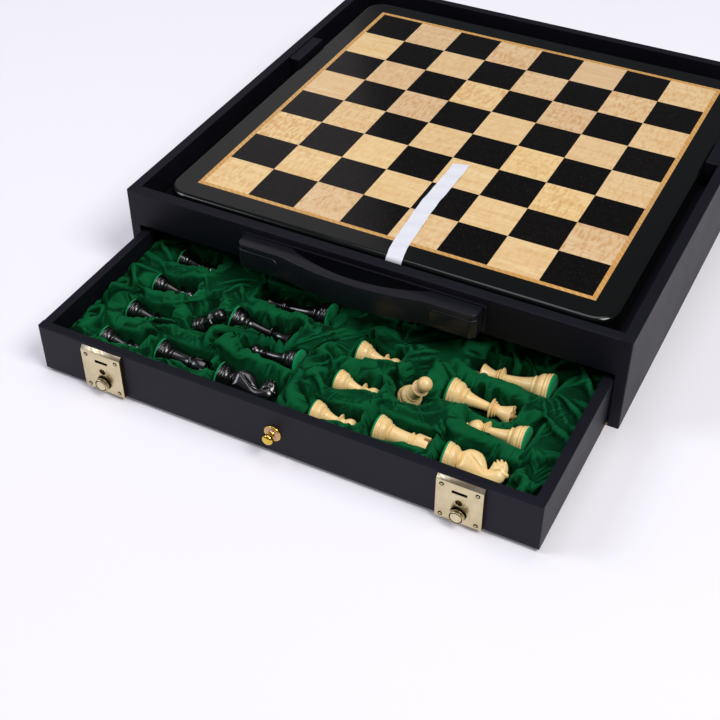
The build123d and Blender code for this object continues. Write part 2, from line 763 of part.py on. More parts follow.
def key_barrels():
    back = drawer_front + housing_depth - housing_wall
    return group(y_cylinder(x, barrel_z, plate_face + lock_skin + seat_gap, back, barrel_diameter)
                 - span_box(x - key_slit_width / 2, x + key_slit_width / 2, plate_face,
                            plate_face + lock_skin + seat_gap + key_slit_depth,
                            barrel_z - barrel_diameter, barrel_z + barrel_diameter)
                 for x in lock_centres)


def cam_places():
    """Depth of the cam's wide face and of its tip behind the drawer's front face."""
    wide = -lock_depth + lock_skin + 0.8
    tip = housing_depth - housing_wall - button_travel - button_end_gap
    return wide, tip


def catch_front():
    """Depth of the catch's front face behind the drawer's front face."""
    return cam_places()[0] + cam_step


def lock_button(x):
    """Round push button with a turned face; the cone behind it lifts the catch."""
    wide, tip = cam_places()
    face = plate_face - button_proud
    body = y_cylinder(x, button_z, face, drawer_front + wide, button_diameter)
    body = chamfer(body.edges().sort_by(Axis.Y)[0], 0.5)
    ring_diameter = button_diameter - 2 * button_ring_inset
    ring = y_cylinder(x, button_z, face - 1, face + button_ring_depth, ring_diameter)
    body -= ring - y_cylinder(x, button_z, face - 2, face + 1, ring_diameter - 2 * button_ring_width)
    flange_r = cam_flange_diameter / 2
    tip_r = flange_r - (tip - wide)
    middle = Pos(x, drawer_front + (wide + tip) / 2, button_z)
    cone = middle * Rot(-90, 0, 0) * Cone(flange_r, tip_r, tip - wide)
    return body + cone


def lock_catch(x):
    """A framed slide: its lower bar rides the cam, its tongue stands in the hasp slot."""
    y0 = drawer_front + catch_front()
    y1 = y0 + catch_thickness
    half = catch_width / 2
    low = button_z + cam_flange_diameter / 2 - cam_step + seat_gap
    shoulder = barrel_z + barrel_diameter / 2 + 2 * button_travel
    window_half = barrel_diameter / 2 + catch_window_margin
    frame = span_box(x - half, x + half, y0, y1, low, shoulder)
    frame -= span_box(x - window_half, x + window_half, y0 - 1, y1 + 1,
                      low + catch_bar, shoulder - catch_bar)
    tongue_top = slot_z + slot_height / 2 + catch_above_slot
    return frame + span_box(x - catch_tongue / 2, x + catch_tongue / 2, y0, y1, shoulder, tongue_top)


def catch_spring(x):
    """A small coil between the catch's tongue and the housing's roof."""
    z0 = slot_z + slot_height / 2 + catch_above_slot
    z1 = housing_top - housing_wall
    y = drawer_front + catch_front() + catch_thickness / 2
    rise = z1 - z0 - spring_wire - 0.1
    path = Helix(pitch=rise / spring_turns, height=rise, radius=(spring_diameter - spring_wire) / 2)
    profile = Plane(path @ 0, z_dir=path % 0) * Circle(spring_wire / 2)
    return Pos(x, y, z0 + spring_wire / 2 + 0.05) * sweep(profile, path=path, is_frenet=True)


def main():
    os.makedirs("parts", exist_ok=True)
    left, right = lock_centres
    parts = {
        "case_left_wall": side_wall(-1),
        "case_right_wall": side_wall(1),
        "case_back_wall": back_wall(),
        "case_front_rail": front_rail(),
        "case_bottom": case_bottom(),
        "board_deck": board_deck(),
        "deck_cleats": deck_cleats(),
        "board_spacers": board_spacers(),
        "drawer_stops": drawer_stops(),
        "handle_backing_plate": handle_backing_plate(),
        "handle_grip": handle_grip(),
        "handle_end_covers": handle_end_covers(),
        "handle_screws": handle_screws(),
        "board_base": board_base(),
        "light_squares": board_squares(0),
        "dark_squares": board_squares(1),
        "inlay_line": inlay_line(),
        "board_pads": board_pads(),
        "lifting_ribbon": lifting_ribbon(),
        "drawer_front": drawer_front_panel(),
        "drawer_left_side": drawer_side(-1),
        "drawer_right_side": drawer_side(1),
        "drawer_back": drawer_back_panel(),
        "drawer_bottom": drawer_bottom(),
        "velvet_lining": velvet_lining(),
        "drawer_knob": knob(),
        "knob_screw": knob_screw(),
        "lock_plates": group(lock_plate(x) for x in lock_centres),
        "lock_rivets": lock_rivets(),
        "lock_bezels": lock_bezels(),
        "lock_housings": lock_housings(),
        "key_barrels": key_barrels(),
        "lock_button_left": lock_button(left),
        "lock_button_right": lock_button(right),
        "lock_catch_left": lock_catch(left),
        "lock_catch_right": lock_catch(right),
        "catch_spring_left": catch_spring(left),
        "catch_spring_right": catch_spring(right),
    }
    for colour in ("dark", "light"):
        for kind in MEN:
            single = kind in ("king", "queen")
            parts[f"{colour}_{kind}" + ("" if single else "s")] = chessmen(colour, kind)
        parts[f"{colour}_base_felts"] = base_felts(colour)
    for name, shape in parts.items():
        export_step(shape, f"parts/{name}.step")


if __name__ == "__main__":
    main()
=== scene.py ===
"""Looks of a chess box: leathercloth case, inlaid board, velvet-lined drawer and its chessmen.

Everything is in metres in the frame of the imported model: +X right, -Y the front, +Z up.
Sizes that are written in millimetres are turned to metres by MM.
"""
from __future__ import annotations

import logging
import math
from collections.abc import Iterable, Iterator, Sequence
from contextlib import contextmanager
from dataclasses import dataclass, field
from enum import Enum

import bmesh
import bpy
import numpy as np
from mathutils import Matrix, Vector, noise


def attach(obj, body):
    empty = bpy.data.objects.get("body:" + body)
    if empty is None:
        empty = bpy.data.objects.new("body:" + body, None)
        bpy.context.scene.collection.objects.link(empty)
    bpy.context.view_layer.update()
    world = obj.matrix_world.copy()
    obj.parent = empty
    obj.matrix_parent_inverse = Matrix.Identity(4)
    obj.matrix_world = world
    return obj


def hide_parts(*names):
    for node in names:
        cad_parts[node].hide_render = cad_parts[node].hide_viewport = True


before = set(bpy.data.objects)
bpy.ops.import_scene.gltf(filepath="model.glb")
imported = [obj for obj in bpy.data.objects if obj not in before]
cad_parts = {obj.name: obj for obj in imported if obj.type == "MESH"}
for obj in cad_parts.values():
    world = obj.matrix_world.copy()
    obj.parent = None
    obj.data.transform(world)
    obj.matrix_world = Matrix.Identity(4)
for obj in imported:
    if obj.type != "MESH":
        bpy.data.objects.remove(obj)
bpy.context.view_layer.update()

MM = 0.001
Socket = bpy.types.NodeSocket
log = logging.getLogger("chess_box")


# ---- small helpers ---------------------------------------------------------
def linear(hex_colour: str) -> tuple[float, float, float, float]:
    """Turns an sRGB hex colour to the linear colour that shaders take.

    Args:
        hex_colour: six hex digits with a leading hash.

    Returns:
        Linear red, green, blue and an alpha of one.
    """
    channels = []
    for start in (1, 3, 5):
        value = int(hex_colour[start:start + 2], 16) / 255
        channels.append(value / 12.92 if value <= 0.04045 else ((value + 0.055) / 1.055) ** 2.4)
    return (channels[0], channels[1], channels[2], 1.0)


def per_metre(pitch_mm: float) -> float:
    """The texture scale whose pattern repeats about every pitch_mm."""
    return 1.0 / (pitch_mm * MM)


def add_node(tree: bpy.types.NodeTree, kind: str, settings: dict | None = None) -> bpy.types.Node:
    """Adds a node, sets its values and wires its inputs.

    Args:
        tree: the node tree that gets the node.
        kind: the node's type name.
        settings: values or output sockets by property name, input name or input number.

    Returns:
        The new node.
    """
    made = tree.nodes.new(kind)
    for key, value in (settings or {}).items():
        if isinstance(value, Socket):
            tree.links.new(value, made.inputs[key])
        elif isinstance(key, str) and hasattr(made, key):
            setattr(made, key, value)
        else:
            made.inputs[key].default_value = value
    return made


def activate(piece: bpy.types.Object) -> None:
    """Makes one piece the only selected one and the active one."""
    bpy.ops.object.select_all(action="DESELECT")
    piece.select_set(True)
    bpy.context.view_layer.objects.active = piece


@contextmanager
def shaping(piece: bpy.types.Object) -> Iterator[bmesh.types.BMesh]:
    """Edit mode on one piece, with nothing selected at the start.

    Args:
        piece: the mesh object to shape.

    Yields:
        The edit mesh, for selecting by place or normal.
    """
    activate(piece)
    bpy.ops.object.mode_set(mode="EDIT")
    bpy.ops.mesh.select_mode(type="VERT")
    bpy.ops.mesh.select_all(action="DESELECT")
    yield bmesh.from_edit_mesh(piece.data)
    bpy.ops.object.mode_set(mode="OBJECT")


def apply_modifier(piece: bpy.types.Object, kind: str, **values: object) -> None:
    """Adds a modifier with its values and applies it at once.

    Args:
        piece: the object that is changed.
        kind: the modifier's type name.
        **values: the modifier's settings.
    """
    activate(piece)
    modifier = piece.modifiers.new(kind.lower(), kind)
    for key, value in values.items():
        setattr(modifier, key, value)
    bpy.ops.object.modifier_apply(modifier=modifier.name)


def face_outwards(piece: bpy.types.Object) -> None:
    """Merges doubles and turns every face of a closed piece outwards."""
    with shaping(piece):
        bpy.ops.mesh.select_all(action="SELECT")
        bpy.ops.mesh.remove_doubles(threshold=0.002 * MM)
        bpy.ops.mesh.normals_make_consistent(inside=False)


def smooth(piece: bpy.types.Object, degrees: float = 35.0) -> None:
    """Shades a piece smooth except over sharper edges than the given angle."""
    activate(piece)
    bpy.ops.object.shade_smooth_by_angle(angle=math.radians(degrees))


def copy_of(piece: bpy.types.Object, name: str, place: Matrix) -> bpy.types.Object:
    """A copy with its own mesh, put at its place within the mesh.

    Args:
        piece: the modelled original.
        name: the copy's name.
        place: where the copy stands.

    Returns:
        The copy, at the origin, unturned and unscaled.
    """
    twin = bpy.data.objects.new(name, piece.data.copy())
    bpy.context.scene.collection.objects.link(twin)
    twin.data.transform(place)
    return twin


def cad_copy(node: str, name: str) -> bpy.types.Object:
    """A merged copy of a CAD node's mesh, ready for finer edges.

    Args:
        node: the CAD node.
        name: the copy's name.

    Returns:
        The copy, with its coplanar triangles joined into faces.
    """
    twin = bpy.data.objects.new(name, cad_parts[node].data.copy())
    bpy.context.scene.collection.objects.link(twin)
    twin.data.materials.clear()
    with shaping(twin):
        bpy.ops.mesh.select_all(action="SELECT")
        bpy.ops.mesh.remove_doubles(threshold=0.002 * MM)
        bpy.ops.mesh.dissolve_limited(angle_limit=math.radians(0.5))
    return twin


def paint(piece: bpy.types.Object, finish: Finish) -> None:
    """Gives a piece one finish all over."""
    piece.data.materials.clear()
    piece.data.materials.append(finish.material())


def hand_over(piece: bpy.types.Object, body: str, nodes: Iterable[str]) -> bpy.types.Object:
    """Registers a finished piece with the frame.

    Args:
        piece: the finished piece.
        body: the body that it moves with.
        nodes: the CAD nodes that it stands for.

    Returns:
        The same piece.
    """
    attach(piece, body)
    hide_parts(*nodes)
    log.info("%s rides on %s", piece.name, body)
    return piece


def grow_turning(name: str, outline: Sequence[tuple[float, float]], segments: int = 48,
                 hollow: bool = False) -> bpy.types.Object:
    """A turned body, grown ring by ring round the Z axis.

    Args:
        name: the piece's name.
        outline: radius and height of each ring in millimetres; a hollow body's last repeats its first.
        segments: how many sides each ring has.
        hollow: whether the outline is closed and stays off the axis, as a collar's does.

    Returns:
        The closed body, standing on the origin.
    """
    radius, height = outline[0]
    bpy.ops.object.select_all(action="DESELECT")
    bpy.ops.mesh.primitive_circle_add(vertices=segments, radius=radius * MM, location=(0, 0, height * MM),
                                      fill_type="NOTHING" if hollow else "NGON")
    piece = bpy.context.object
    piece.name = name
    bpy.ops.object.transform_apply(location=True, rotation=False, scale=False)
    extrude = bpy.ops.mesh.extrude_edges_move if hollow else bpy.ops.mesh.extrude_region_move
    with shaping(piece):
        bpy.ops.mesh.select_all(action="SELECT")
        for next_radius, next_height in outline[1:]:
            extrude(TRANSFORM_OT_translate={"value": (0, 0, (next_height - height) * MM)})
            ratio = next_radius / radius
            bpy.ops.transform.resize(value=(ratio, ratio, 1.0), center_override=(0, 0, next_height * MM))
            radius, height = next_radius, next_height
    face_outwards(piece)
    return piece


def block(name: str, low: Sequence[float], high: Sequence[float]) -> bpy.types.Object:
    """A rectangular blank between two corners in millimetres, to be shaped further."""
    middle = [(a + b) / 2 * MM for a, b in zip(low, high)]
    size = [(b - a) * MM for a, b in zip(low, high)]
    bpy.ops.object.select_all(action="DESELECT")
    bpy.ops.mesh.primitive_cube_add(size=1.0, location=middle, scale=size)
    piece = bpy.context.object
    piece.name = name
    bpy.ops.object.transform_apply(location=True, rotation=True, scale=True)
    return piece


def carve(piece: bpy.types.Object, tool: bpy.types.Object) -> None:
    """Cuts the tool's shape out of a piece and removes the tool."""
    apply_modifier(piece, "BOOLEAN", operation="DIFFERENCE", solver="EXACT", object=tool)
    bpy.data.objects.remove(tool, do_unlink=True)


# ---- finishes --------------------------------------------------------------
class Pattern:
    """The node tree of one material, with the few kinds of node that the finishes are wired from."""

    def __init__(self, tree: bpy.types.NodeTree) -> None:
        """Starts the tree with its shader, its output and the object coordinates in metres."""
        tree.nodes.clear()
        self.tree = tree
        self.shader = add_node(tree, "ShaderNodeBsdfPrincipled")
        add_node(tree, "ShaderNodeOutputMaterial", {"Surface": self.shader.outputs["BSDF"]})
        self.place = add_node(tree, "ShaderNodeTexCoord").outputs["Object"]

    def noise(self, pitch_mm: float, detail: float, place: Socket | None = None, **options: float) -> Socket:
        """Smooth noise with about the given pitch, over the object unless another place is given."""
        settings = {"Scale": per_metre(pitch_mm), "Detail": detail, **options,
                    "Vector": self.place if place is None else place}
        return add_node(self.tree, "ShaderNodeTexNoise", settings).outputs["Fac"]

    def cells(self, pitch_mm: float, **options: str) -> Socket:
        """The distances in a pattern of irregular cells."""
        settings = {"Scale": per_metre(pitch_mm), **options, "Vector": self.place}
        return add_node(self.tree, "ShaderNodeTexVoronoi", settings).outputs["Distance"]

    def mapped(self, place: Socket, **options: tuple[float, float, float]) -> Socket:
        """Places scaled or turned, so that a pattern runs long or slanted."""
        return add_node(self.tree, "ShaderNodeMapping", {**options, "Vector": place}).outputs["Vector"]

    def spread(self, value: Socket, low: float = 0.0, high: float = 1.0, start: float = 0.0,
               end: float = 1.0) -> Socket:
        """Spreads the values from start to end over low to high, and holds the others at the ends."""
        limits = {"From Min": start, "From Max": end, "To Min": low, "To Max": high, "Value": value}
        return add_node(self.tree, "ShaderNodeMapRange", limits).outputs["Result"]

    def maths(self, operation: str, *values: float | Socket, **options: bool) -> Socket:
        """One step of arithmetic."""
        settings = {"operation": operation, **options, **dict(enumerate(values))}
        return add_node(self.tree, "ShaderNodeMath", settings).outputs["Value"]

    def vectors(self, operation: str, *places: Sequence[float] | Socket, **options: float) -> Socket:
        """One step of arithmetic on places."""
        settings = {"operation": operation, **options, **dict(enumerate(places))}
        made = add_node(self.tree, "ShaderNodeVectorMath", settings)
        return made.outputs["Value" if operation == "DOT_PRODUCT" else "Vector"]

    def mix(self, share: Socket, under: str | Socket, over: str) -> Socket:
        """Lays a colour over a colour or a tone, by a share that varies from place to place."""
        settings = {"data_type": "RGBA", 0: share, 6: linear(under) if isinstance(under, str) else under,
                    7: linear(over)}
        return add_node(self.tree, "ShaderNodeMix", settings).outputs[2]

    def bump(self, height: Socket, strength: float, depth_mm: float) -> None:
        """Raises the surface by a pattern."""
        made = add_node(self.tree, "ShaderNodeBump",
                        {"Strength": strength, "Distance": depth_mm * MM, "Height": height})
        self.tree.links.new(made.outputs["Normal"], self.shader.inputs["Normal"])

    def surface(self, values: dict[str, float | Sequence[float] | Socket]) -> None:
        """Sets or wires the shader's inputs by name."""
        for key, value in values.items():
            if isinstance(value, Socket):
                self.tree.links.new(value, self.shader.inputs[key])
            else:
                self.shader.inputs[key].default_value = value


@dataclass(frozen=True)
class Finish:
    """A real material and how its surface was made."""

    name: str

    def material(self) -> bpy.types.Material:
        """The material, built on its first use."""
        found = bpy.data.materials.get(self.name)
        if found:
            return found
        made = bpy.data.materials.new(self.name)
        made.use_nodes = True
        self.wire(Pattern(made.node_tree))
        return made

    def wire(self, pattern: Pattern) -> None:
        """Wires the finish's pattern into its shader."""
        raise NotImplementedError


@dataclass(frozen=True)
class Leathercloth(Finish):
    """PVC leathercloth, calendered with a fine grain: a black satin skin that greys at low angles."""

    colour: str = "#0c0c11"
    worn_colour: str = "#15151c"
    sheen_colour: str = "#d8d6f4"
    grain_mm: float = 1.5  # real grain is near 0.6 mm; drawn coarser so that it shows
    roughness: float = 0.50

    def wire(self, pattern: Pattern) -> None:
        """Pebbled bump between fine creases, with a slow change of tone."""
        clouds = pattern.noise(60, 4.0)
        pebbles = pattern.cells(self.grain_mm, feature="DISTANCE_TO_EDGE")
        pattern.bump(pattern.spread(pebbles, end=0.22), 0.30, 0.10)
        pattern.surface({"Base Color": pattern.mix(clouds, self.colour, self.worn_colour),
                         "Roughness": pattern.spread(clouds, self.roughness - 0.06, self.roughness + 0.08),
                         "Specular IOR Level": 0.26, "Specular Tint": linear(self.sheen_colour)})


@dataclass(frozen=True)
class PianoLacquer(Finish):
    """Black polyester lacquer, buffed: a deep greenish black with clear reflections."""

    colour: str = "#050806"
    dust_colour: str = "#3c3e3c"
    roughness: float = 0.14

    def wire(self, pattern: Pattern) -> None:
        """Buffing haze in the gloss, a barely uneven surface and specks of dust."""
        haze = pattern.noise(35, 5.0)
        specks = pattern.spread(pattern.noise(1.6, 1.0), high=0.25, start=0.72, end=0.80)
        pattern.bump(haze, 0.05, 0.2)
        pattern.surface({"Base Color": pattern.mix(specks, self.colour, self.dust_colour),
                         "Roughness": pattern.spread(haze, self.roughness * 0.6, self.roughness * 1.6)})


class Timber(Enum):
    """Woods by their light colour, dark colour and how strongly the grain shows."""

    MAPLE = ("#fbdfac", "#e9bd82", 0.9)
    MAPLE_LINE = ("#e9bd7c", "#cf9748", 0.9)
    EBONY = ("#060505", "#100d0c", 0.7)
    BOXWOOD = ("#ffe1a0", "#fbc67c", 0.6)
    EBONISED = ("#050506", "#0b0a0d", 0.4)
    BIRCH_PLY = ("#c9a777", "#a98353", 0.8)


@dataclass(frozen=True)
class Veneer(Finish):
    """Sliced veneer under clear lacquer; each square is its own leaf with its own tone and figure."""

    timber: Timber = Timber.MAPLE
    leaf_mm: float = 50.0
    ring_mm: float = 7.0
    fibre_mm: float = 0.9
    curl_mm: float = 3.2
    roughness: float = 0.22
    figure_colour: str = "#cd8f4c"
    figure_share: float = 0.0
    speck_colour: str = "#6a5a45"
    speck_share: float = 0.0
    speck_mm: float = 1.9
    dash_mm: float = 0.0
    gloss: float = 0.5
    hue_spread: float = 0.0

    def wire(self, pattern: Pattern) -> None:
        """Grain along X, shifted and toned leaf by leaf."""
        light, dark, strength = self.timber.value
        cell = pattern.vectors("SCALE", pattern.place, Scale=per_metre(self.leaf_mm))
        leaf = add_node(pattern.tree, "ShaderNodeTexWhiteNoise", {"Vector": pattern.vectors("FLOOR", cell)})
        chance, colours = leaf.outputs["Value"], leaf.outputs["Color"]
        shifted = pattern.vectors("ADD", pattern.place, colours)
        along = pattern.mapped(shifted, Scale=(0.10, 1.0, 1.0))
        rings = pattern.noise(self.ring_mm, 3.0, along, Distortion=1.2)
        fibres = pattern.noise(self.fibre_mm, 2.0, along)
        curl = pattern.noise(self.curl_mm, 2.0, pattern.mapped(shifted, Scale=(1.0, 0.35, 1.0)))
        grain = pattern.maths("MULTIPLY_ADD", fibres, 0.45, rings)
        figure = pattern.maths("MULTIPLY_ADD", pattern.maths("MULTIPLY", curl, chance), 0.55, grain)
        wood = pattern.mix(pattern.spread(figure, high=strength, start=0.55, end=1.15), light, dark)
        hue = pattern.spread(chance, 0.5 - self.hue_spread, 0.5 + self.hue_spread * 0.6)
        tone = add_node(pattern.tree, "ShaderNodeHueSaturation", {
            "Color": wood, "Value": pattern.spread(chance, 0.86, 1.06), "Hue": hue}).outputs["Color"]
        if self.figure_share:
            tone = self.quilted(pattern, tone, curl, colours)
        if self.speck_share:
            specks = pattern.spread(pattern.cells(self.speck_mm), high=self.speck_share,
                                    start=0.16, end=0.08)
            tone = pattern.mix(specks, tone, self.speck_colour)
        if self.dash_mm:
            tone = self.dashed(pattern, tone)
        pattern.bump(fibres, 0.06, 0.05)
        pattern.surface({"Base Color": tone, "Roughness": self.roughness, "Specular IOR Level": self.gloss})

    def quilted(self, pattern: Pattern, tone: Socket, curl: Socket, colours: Socket) -> Socket:
        """Quilted figure on some of the leaves and next to none on the others."""
        chance = add_node(pattern.tree, "ShaderNodeSeparateColor", {"Color": colours}).outputs["Green"]
        gate = pattern.spread(chance, 0.05, self.figure_share, 0.35, 0.85)
        spots = pattern.spread(curl, start=0.48, end=0.66)
        return pattern.mix(pattern.maths("MULTIPLY", gate, spots), tone, self.figure_colour)

    def dashed(self, pattern: Pattern, tone: Socket) -> Socket:
        """Slanted dashes of darker wood, as in rope stringing."""
        run = pattern.vectors("DOT_PRODUCT", pattern.place, (1.0, 1.0, 0.0))
        wave = pattern.maths("SINE", pattern.maths("MULTIPLY", run, 2 * math.pi / (self.dash_mm * MM)))
        return pattern.mix(pattern.spread(wave, high=0.6, start=0.15, end=0.55), tone, self.figure_colour)


@dataclass(frozen=True)
class TurnedWood(Finish):
    """Wood turned on the lathe, sanded and lacquered; fine growth lines run along the piece."""

    timber: Timber = Timber.BOXWOOD
    ring_mm: float = 2.4
    roughness: float = 0.34
    coat: float = 0.25
    coat_roughness: float = 0.08

    def wire(self, pattern: Pattern) -> None:
        """Soft growth lines with fine pores."""
        light, dark, strength = self.timber.value
        lines = pattern.noise(self.ring_mm * 4, 4.0, Distortion=0.8)
        stretched = pattern.mapped(pattern.place, Scale=(0.18, 1.0, 1.0))
        fibres = pattern.noise(self.ring_mm * 0.5, 3.0, stretched)
        figure = pattern.maths("MULTIPLY_ADD", fibres, 0.5, lines)
        pattern.bump(fibres, 0.08, 0.06)
        pattern.surface({
            "Base Color": pattern.mix(pattern.spread(figure, high=strength, start=0.5), light, dark),
            "Roughness": self.roughness, "Coat Weight": self.coat, "Coat Roughness": self.coat_roughness})


@dataclass(frozen=True)
class PileVelvet(Finish):
    """Short-pile cotton velvet: deep green face-on and a bright sheen where the pile is seen edge-on, with a
    painted highlight over each fold's crest and painted shade, near black, in each crease."""

    colour: str = "#012d15"
    brushed_colour: str = "#024423"
    # The crest and valley colours are painted light: a highlight over sharp fold crests and shade deep in
    # creases.
    crest_highlight_colour: str = "#17804a"
    crease_shade_colour: str = "#001408"
    bloom: str = "#24a05e"
    pile_mm: float = 1.1  # tufts are near 0.4 mm; drawn coarser so that they show

    def wire(self, pattern: Pattern) -> None:
        """Pile that lies this way and that in patches, painted highlight on fold crests and painted shade in
        creases, over a fine tufted bump.
        """
        patches = pattern.noise(26, 5.0, Roughness=0.6, Distortion=0.7)
        tone = pattern.mix(pattern.spread(patches, start=0.36, end=0.66), self.colour, self.brushed_colour)
        bend = add_node(pattern.tree, "ShaderNodeAttribute", {"attribute_name": "fold_bend"}).outputs["Fac"]
        # Painted highlight on crests and painted shade in creases, each weighed by how sharply the velvet
        # bends there.
        for reach, colour, most in ((1.0, self.crest_highlight_colour, 0.34), (-1.0, self.crease_shade_colour, 0.75)):
            tone = pattern.mix(pattern.spread(bend, high=most, start=0.12 * reach, end=reach), tone, colour)
        pattern.bump(pattern.noise(self.pile_mm, 2.0), 0.35, 0.2)
        pattern.surface({"Base Color": tone, "Roughness": 0.95, "Specular IOR Level": 0.08,
                         "Sheen Weight": 0.5, "Sheen Roughness": 0.34, "Sheen Tint": linear(self.bloom)})


@dataclass(frozen=True)
class WoolFelt(Finish):
    """Pressed wool felt: a matt, fibrous, faintly mottled face."""

    colour: str = "#0b9c5f"
    mottle_colour: str = "#07834d"
    fibre_mm: float = 0.8

    def wire(self, pattern: Pattern) -> None:
        """Mottled tone and a matted bump."""
        matt = pattern.noise(self.fibre_mm, 5.0, Roughness=0.7)
        pattern.bump(matt, 0.5, 0.15)
        pattern.surface({"Base Color": pattern.mix(matt, self.colour, self.mottle_colour),
                         "Roughness": 0.95, "Specular IOR Level": 0.1, "Sheen Weight": 0.06})


@dataclass(frozen=True)
class SatinWeave(Finish):
    """White polyester satin ribbon: floats along its length give a soft lengthwise gloss."""

    colour: str = "#f6f7fd"
    shade_colour: str = "#e9ebf6"
    thread_mm: float = 1.0  # real threads are near 0.2 mm; drawn coarser so that they show

    def wire(self, pattern: Pattern) -> None:
        """Fine ribs across the ribbon, from its UV map."""
        woven = add_node(pattern.tree, "ShaderNodeUVMap", {"uv_map": "UVMap"}).outputs["UV"]
        stretched = pattern.mapped(woven, Scale=(16.0 / self.thread_mm, 40.0 / self.thread_mm, 1.0))
        ribs = add_node(pattern.tree, "ShaderNodeTexNoise",
                        {"Scale": 1.0, "Detail": 3.0, "Vector": stretched}).outputs["Fac"]
        pattern.bump(ribs, 0.15, 0.1)
        pattern.surface({"Base Color": pattern.mix(ribs, self.colour, self.shade_colour),
                         "Roughness": 0.42, "Sheen Weight": 0.2})


@dataclass(frozen=True)
class MouldedPlastic(Finish):
    """Injection-moulded ABS from a spark-eroded mould: even satin with soft highlights on its edges."""

    colour: str = "#15151d"
    grit_mm: float = 0.9  # real mould texture is near 0.1 mm; drawn coarser so that it shows
    roughness: float = 0.31

    def wire(self, pattern: Pattern) -> None:
        """Fine even grit, with faint scuffs in the gloss."""
        gloss = pattern.spread(pattern.noise(22, 4.0), self.roughness - 0.08, self.roughness + 0.08)
        pattern.bump(pattern.noise(self.grit_mm, 2.0), 0.12, 0.05)
        pattern.surface({"Base Color": linear(self.colour), "Roughness": gloss, "Specular IOR Level": 0.5})


class Metal(Enum):
    """Metals by their colour, tarnish colour, roughness and brushing strength."""

    POLISHED_BRASS = ("#f0d568", "#d0a93c", 0.16, 0.1)
    ANTIQUE_BRASS = ("#e6d9b8", "#c8b78f", 0.30, 0.5)
    ROSE_BRASS = ("#dcb89c", "#c39b7c", 0.42, 0.2)
    # Aged brass on the key barrels; also painted shade on the lock plates' left and right sides.
    AGED_BRASS = ("#7d6339", "#3b2e1b", 0.42, 0.3)
    # Pale brass for the lock plates' top band: the cross brushing is real, the paleness is a painted
    # highlight.
    BAND_BRASS = ("#f3ecd8", "#b09f7c", 0.30, 1.6)
    # Near-black brass: patina in grooves, and painted shade on the lock bezels, the back of the buttons'
    # sides and round the rivets.
    PATINATED_BRASS = ("#2a231b", "#17130e", 0.55, 0.3)
    ZINC_STEEL = ("#aab2bd", "#8b929c", 0.32, 0.4)
    BLACKENED_STEEL = ("#17181b", "#0c0c0e", 0.6, 0.3)


@dataclass(frozen=True)
class MetalFinish(Finish):
    """Sheet or turned metal, brushed upright, tarnished in faint clouds."""

    metal: Metal = Metal.ANTIQUE_BRASS
    brush_mm: float = 0.8  # real brush lines are near 0.1 mm; drawn coarser so that they show
    brush_lean: float = 0.0

    def wire(self, pattern: Pattern) -> None:
        """Brush lines over clouds of tarnish."""
        bright, tarnish, roughness, brushing = self.metal.value
        leaning = pattern.mapped(pattern.place, Rotation=(0.0, math.radians(self.brush_lean), 0.0))
        lines = pattern.noise(self.brush_mm, 2.0, pattern.mapped(leaning, Scale=(1.0, 1.0, 0.05)))
        streaks = pattern.maths("MULTIPLY_ADD", lines, brushing, -0.3 * brushing)
        stain = pattern.maths("ADD", pattern.noise(9, 4.0), streaks, use_clamp=True)
        pattern.bump(lines, 0.12 * brushing, 0.05)
        pattern.surface({"Base Color": pattern.mix(stain, bright, tarnish), "Metallic": 1.0,
                         "Roughness": pattern.spread(lines, roughness - 0.3 * brushing * roughness,
                                                     roughness + 0.6 * brushing * roughness)})


@dataclass(frozen=True)
class StudioSweep(Finish):
    """Matt white studio paper under the object."""

    colour: str = "#f6f4fa"
    mottle_colour: str = "#f4f2f8"
    glow: float = 0.10  # evens out the lamps' fall-off over the paper

    def wire(self, pattern: Pattern) -> None:
        """Plain paper with a hint of mottle."""
        pattern.surface({"Base Color": pattern.mix(pattern.noise(300, 2.0), self.colour, self.mottle_colour),
                         "Roughness": 0.9, "Specular IOR Level": 0.1,
                         "Emission Color": linear(self.colour), "Emission Strength": self.glow})


LEATHERCLOTH = Leathercloth("embossed_leathercloth")
LACQUER = PianoLacquer("black_polyester_lacquer")
PLASTIC = MouldedPlastic("moulded_abs")
ANTIQUE_BRASS = MetalFinish("brushed_antique_brass", Metal.ANTIQUE_BRASS)
PATINA_AND_SHADE = MetalFinish("patinated_brass", Metal.PATINATED_BRASS)
ROSE_BRASS = MetalFinish("tarnished_brass", Metal.ROSE_BRASS)
AGED_BRASS = MetalFinish("aged_brass", Metal.AGED_BRASS)
# The top band's finish: real diagonal brushing, with a painted highlight in its pale colour.
BRUSHED_BAND_PAINTED_HIGHLIGHT = MetalFinish("cross_brushed_brass_painted_highlight", Metal.BAND_BRASS, brush_mm=2.2, brush_lean=50.0)
POLISHED_BRASS = MetalFinish("polished_brass_turning", Metal.POLISHED_BRASS)
STEEL = MetalFinish("zinc_plated_steel", Metal.ZINC_STEEL)
DARK_STEEL = MetalFinish("blackened_steel", Metal.BLACKENED_STEEL)
PLY = Veneer("birch_plywood", Timber.BIRCH_PLY, leaf_mm=2000.0, roughness=0.7)
BOXWOOD = TurnedWood("lacquered_boxwood", Timber.BOXWOOD)
EBONISED = TurnedWood("ebonised_boxwood", Timber.EBONISED, roughness=0.24, coat=0.9, coat_roughness=0.12)
GREEN_FELT = WoolFelt("green_wool_felt")
BLACK_FELT = WoolFelt("black_wool_felt", "#15161a", "#0c0d10")


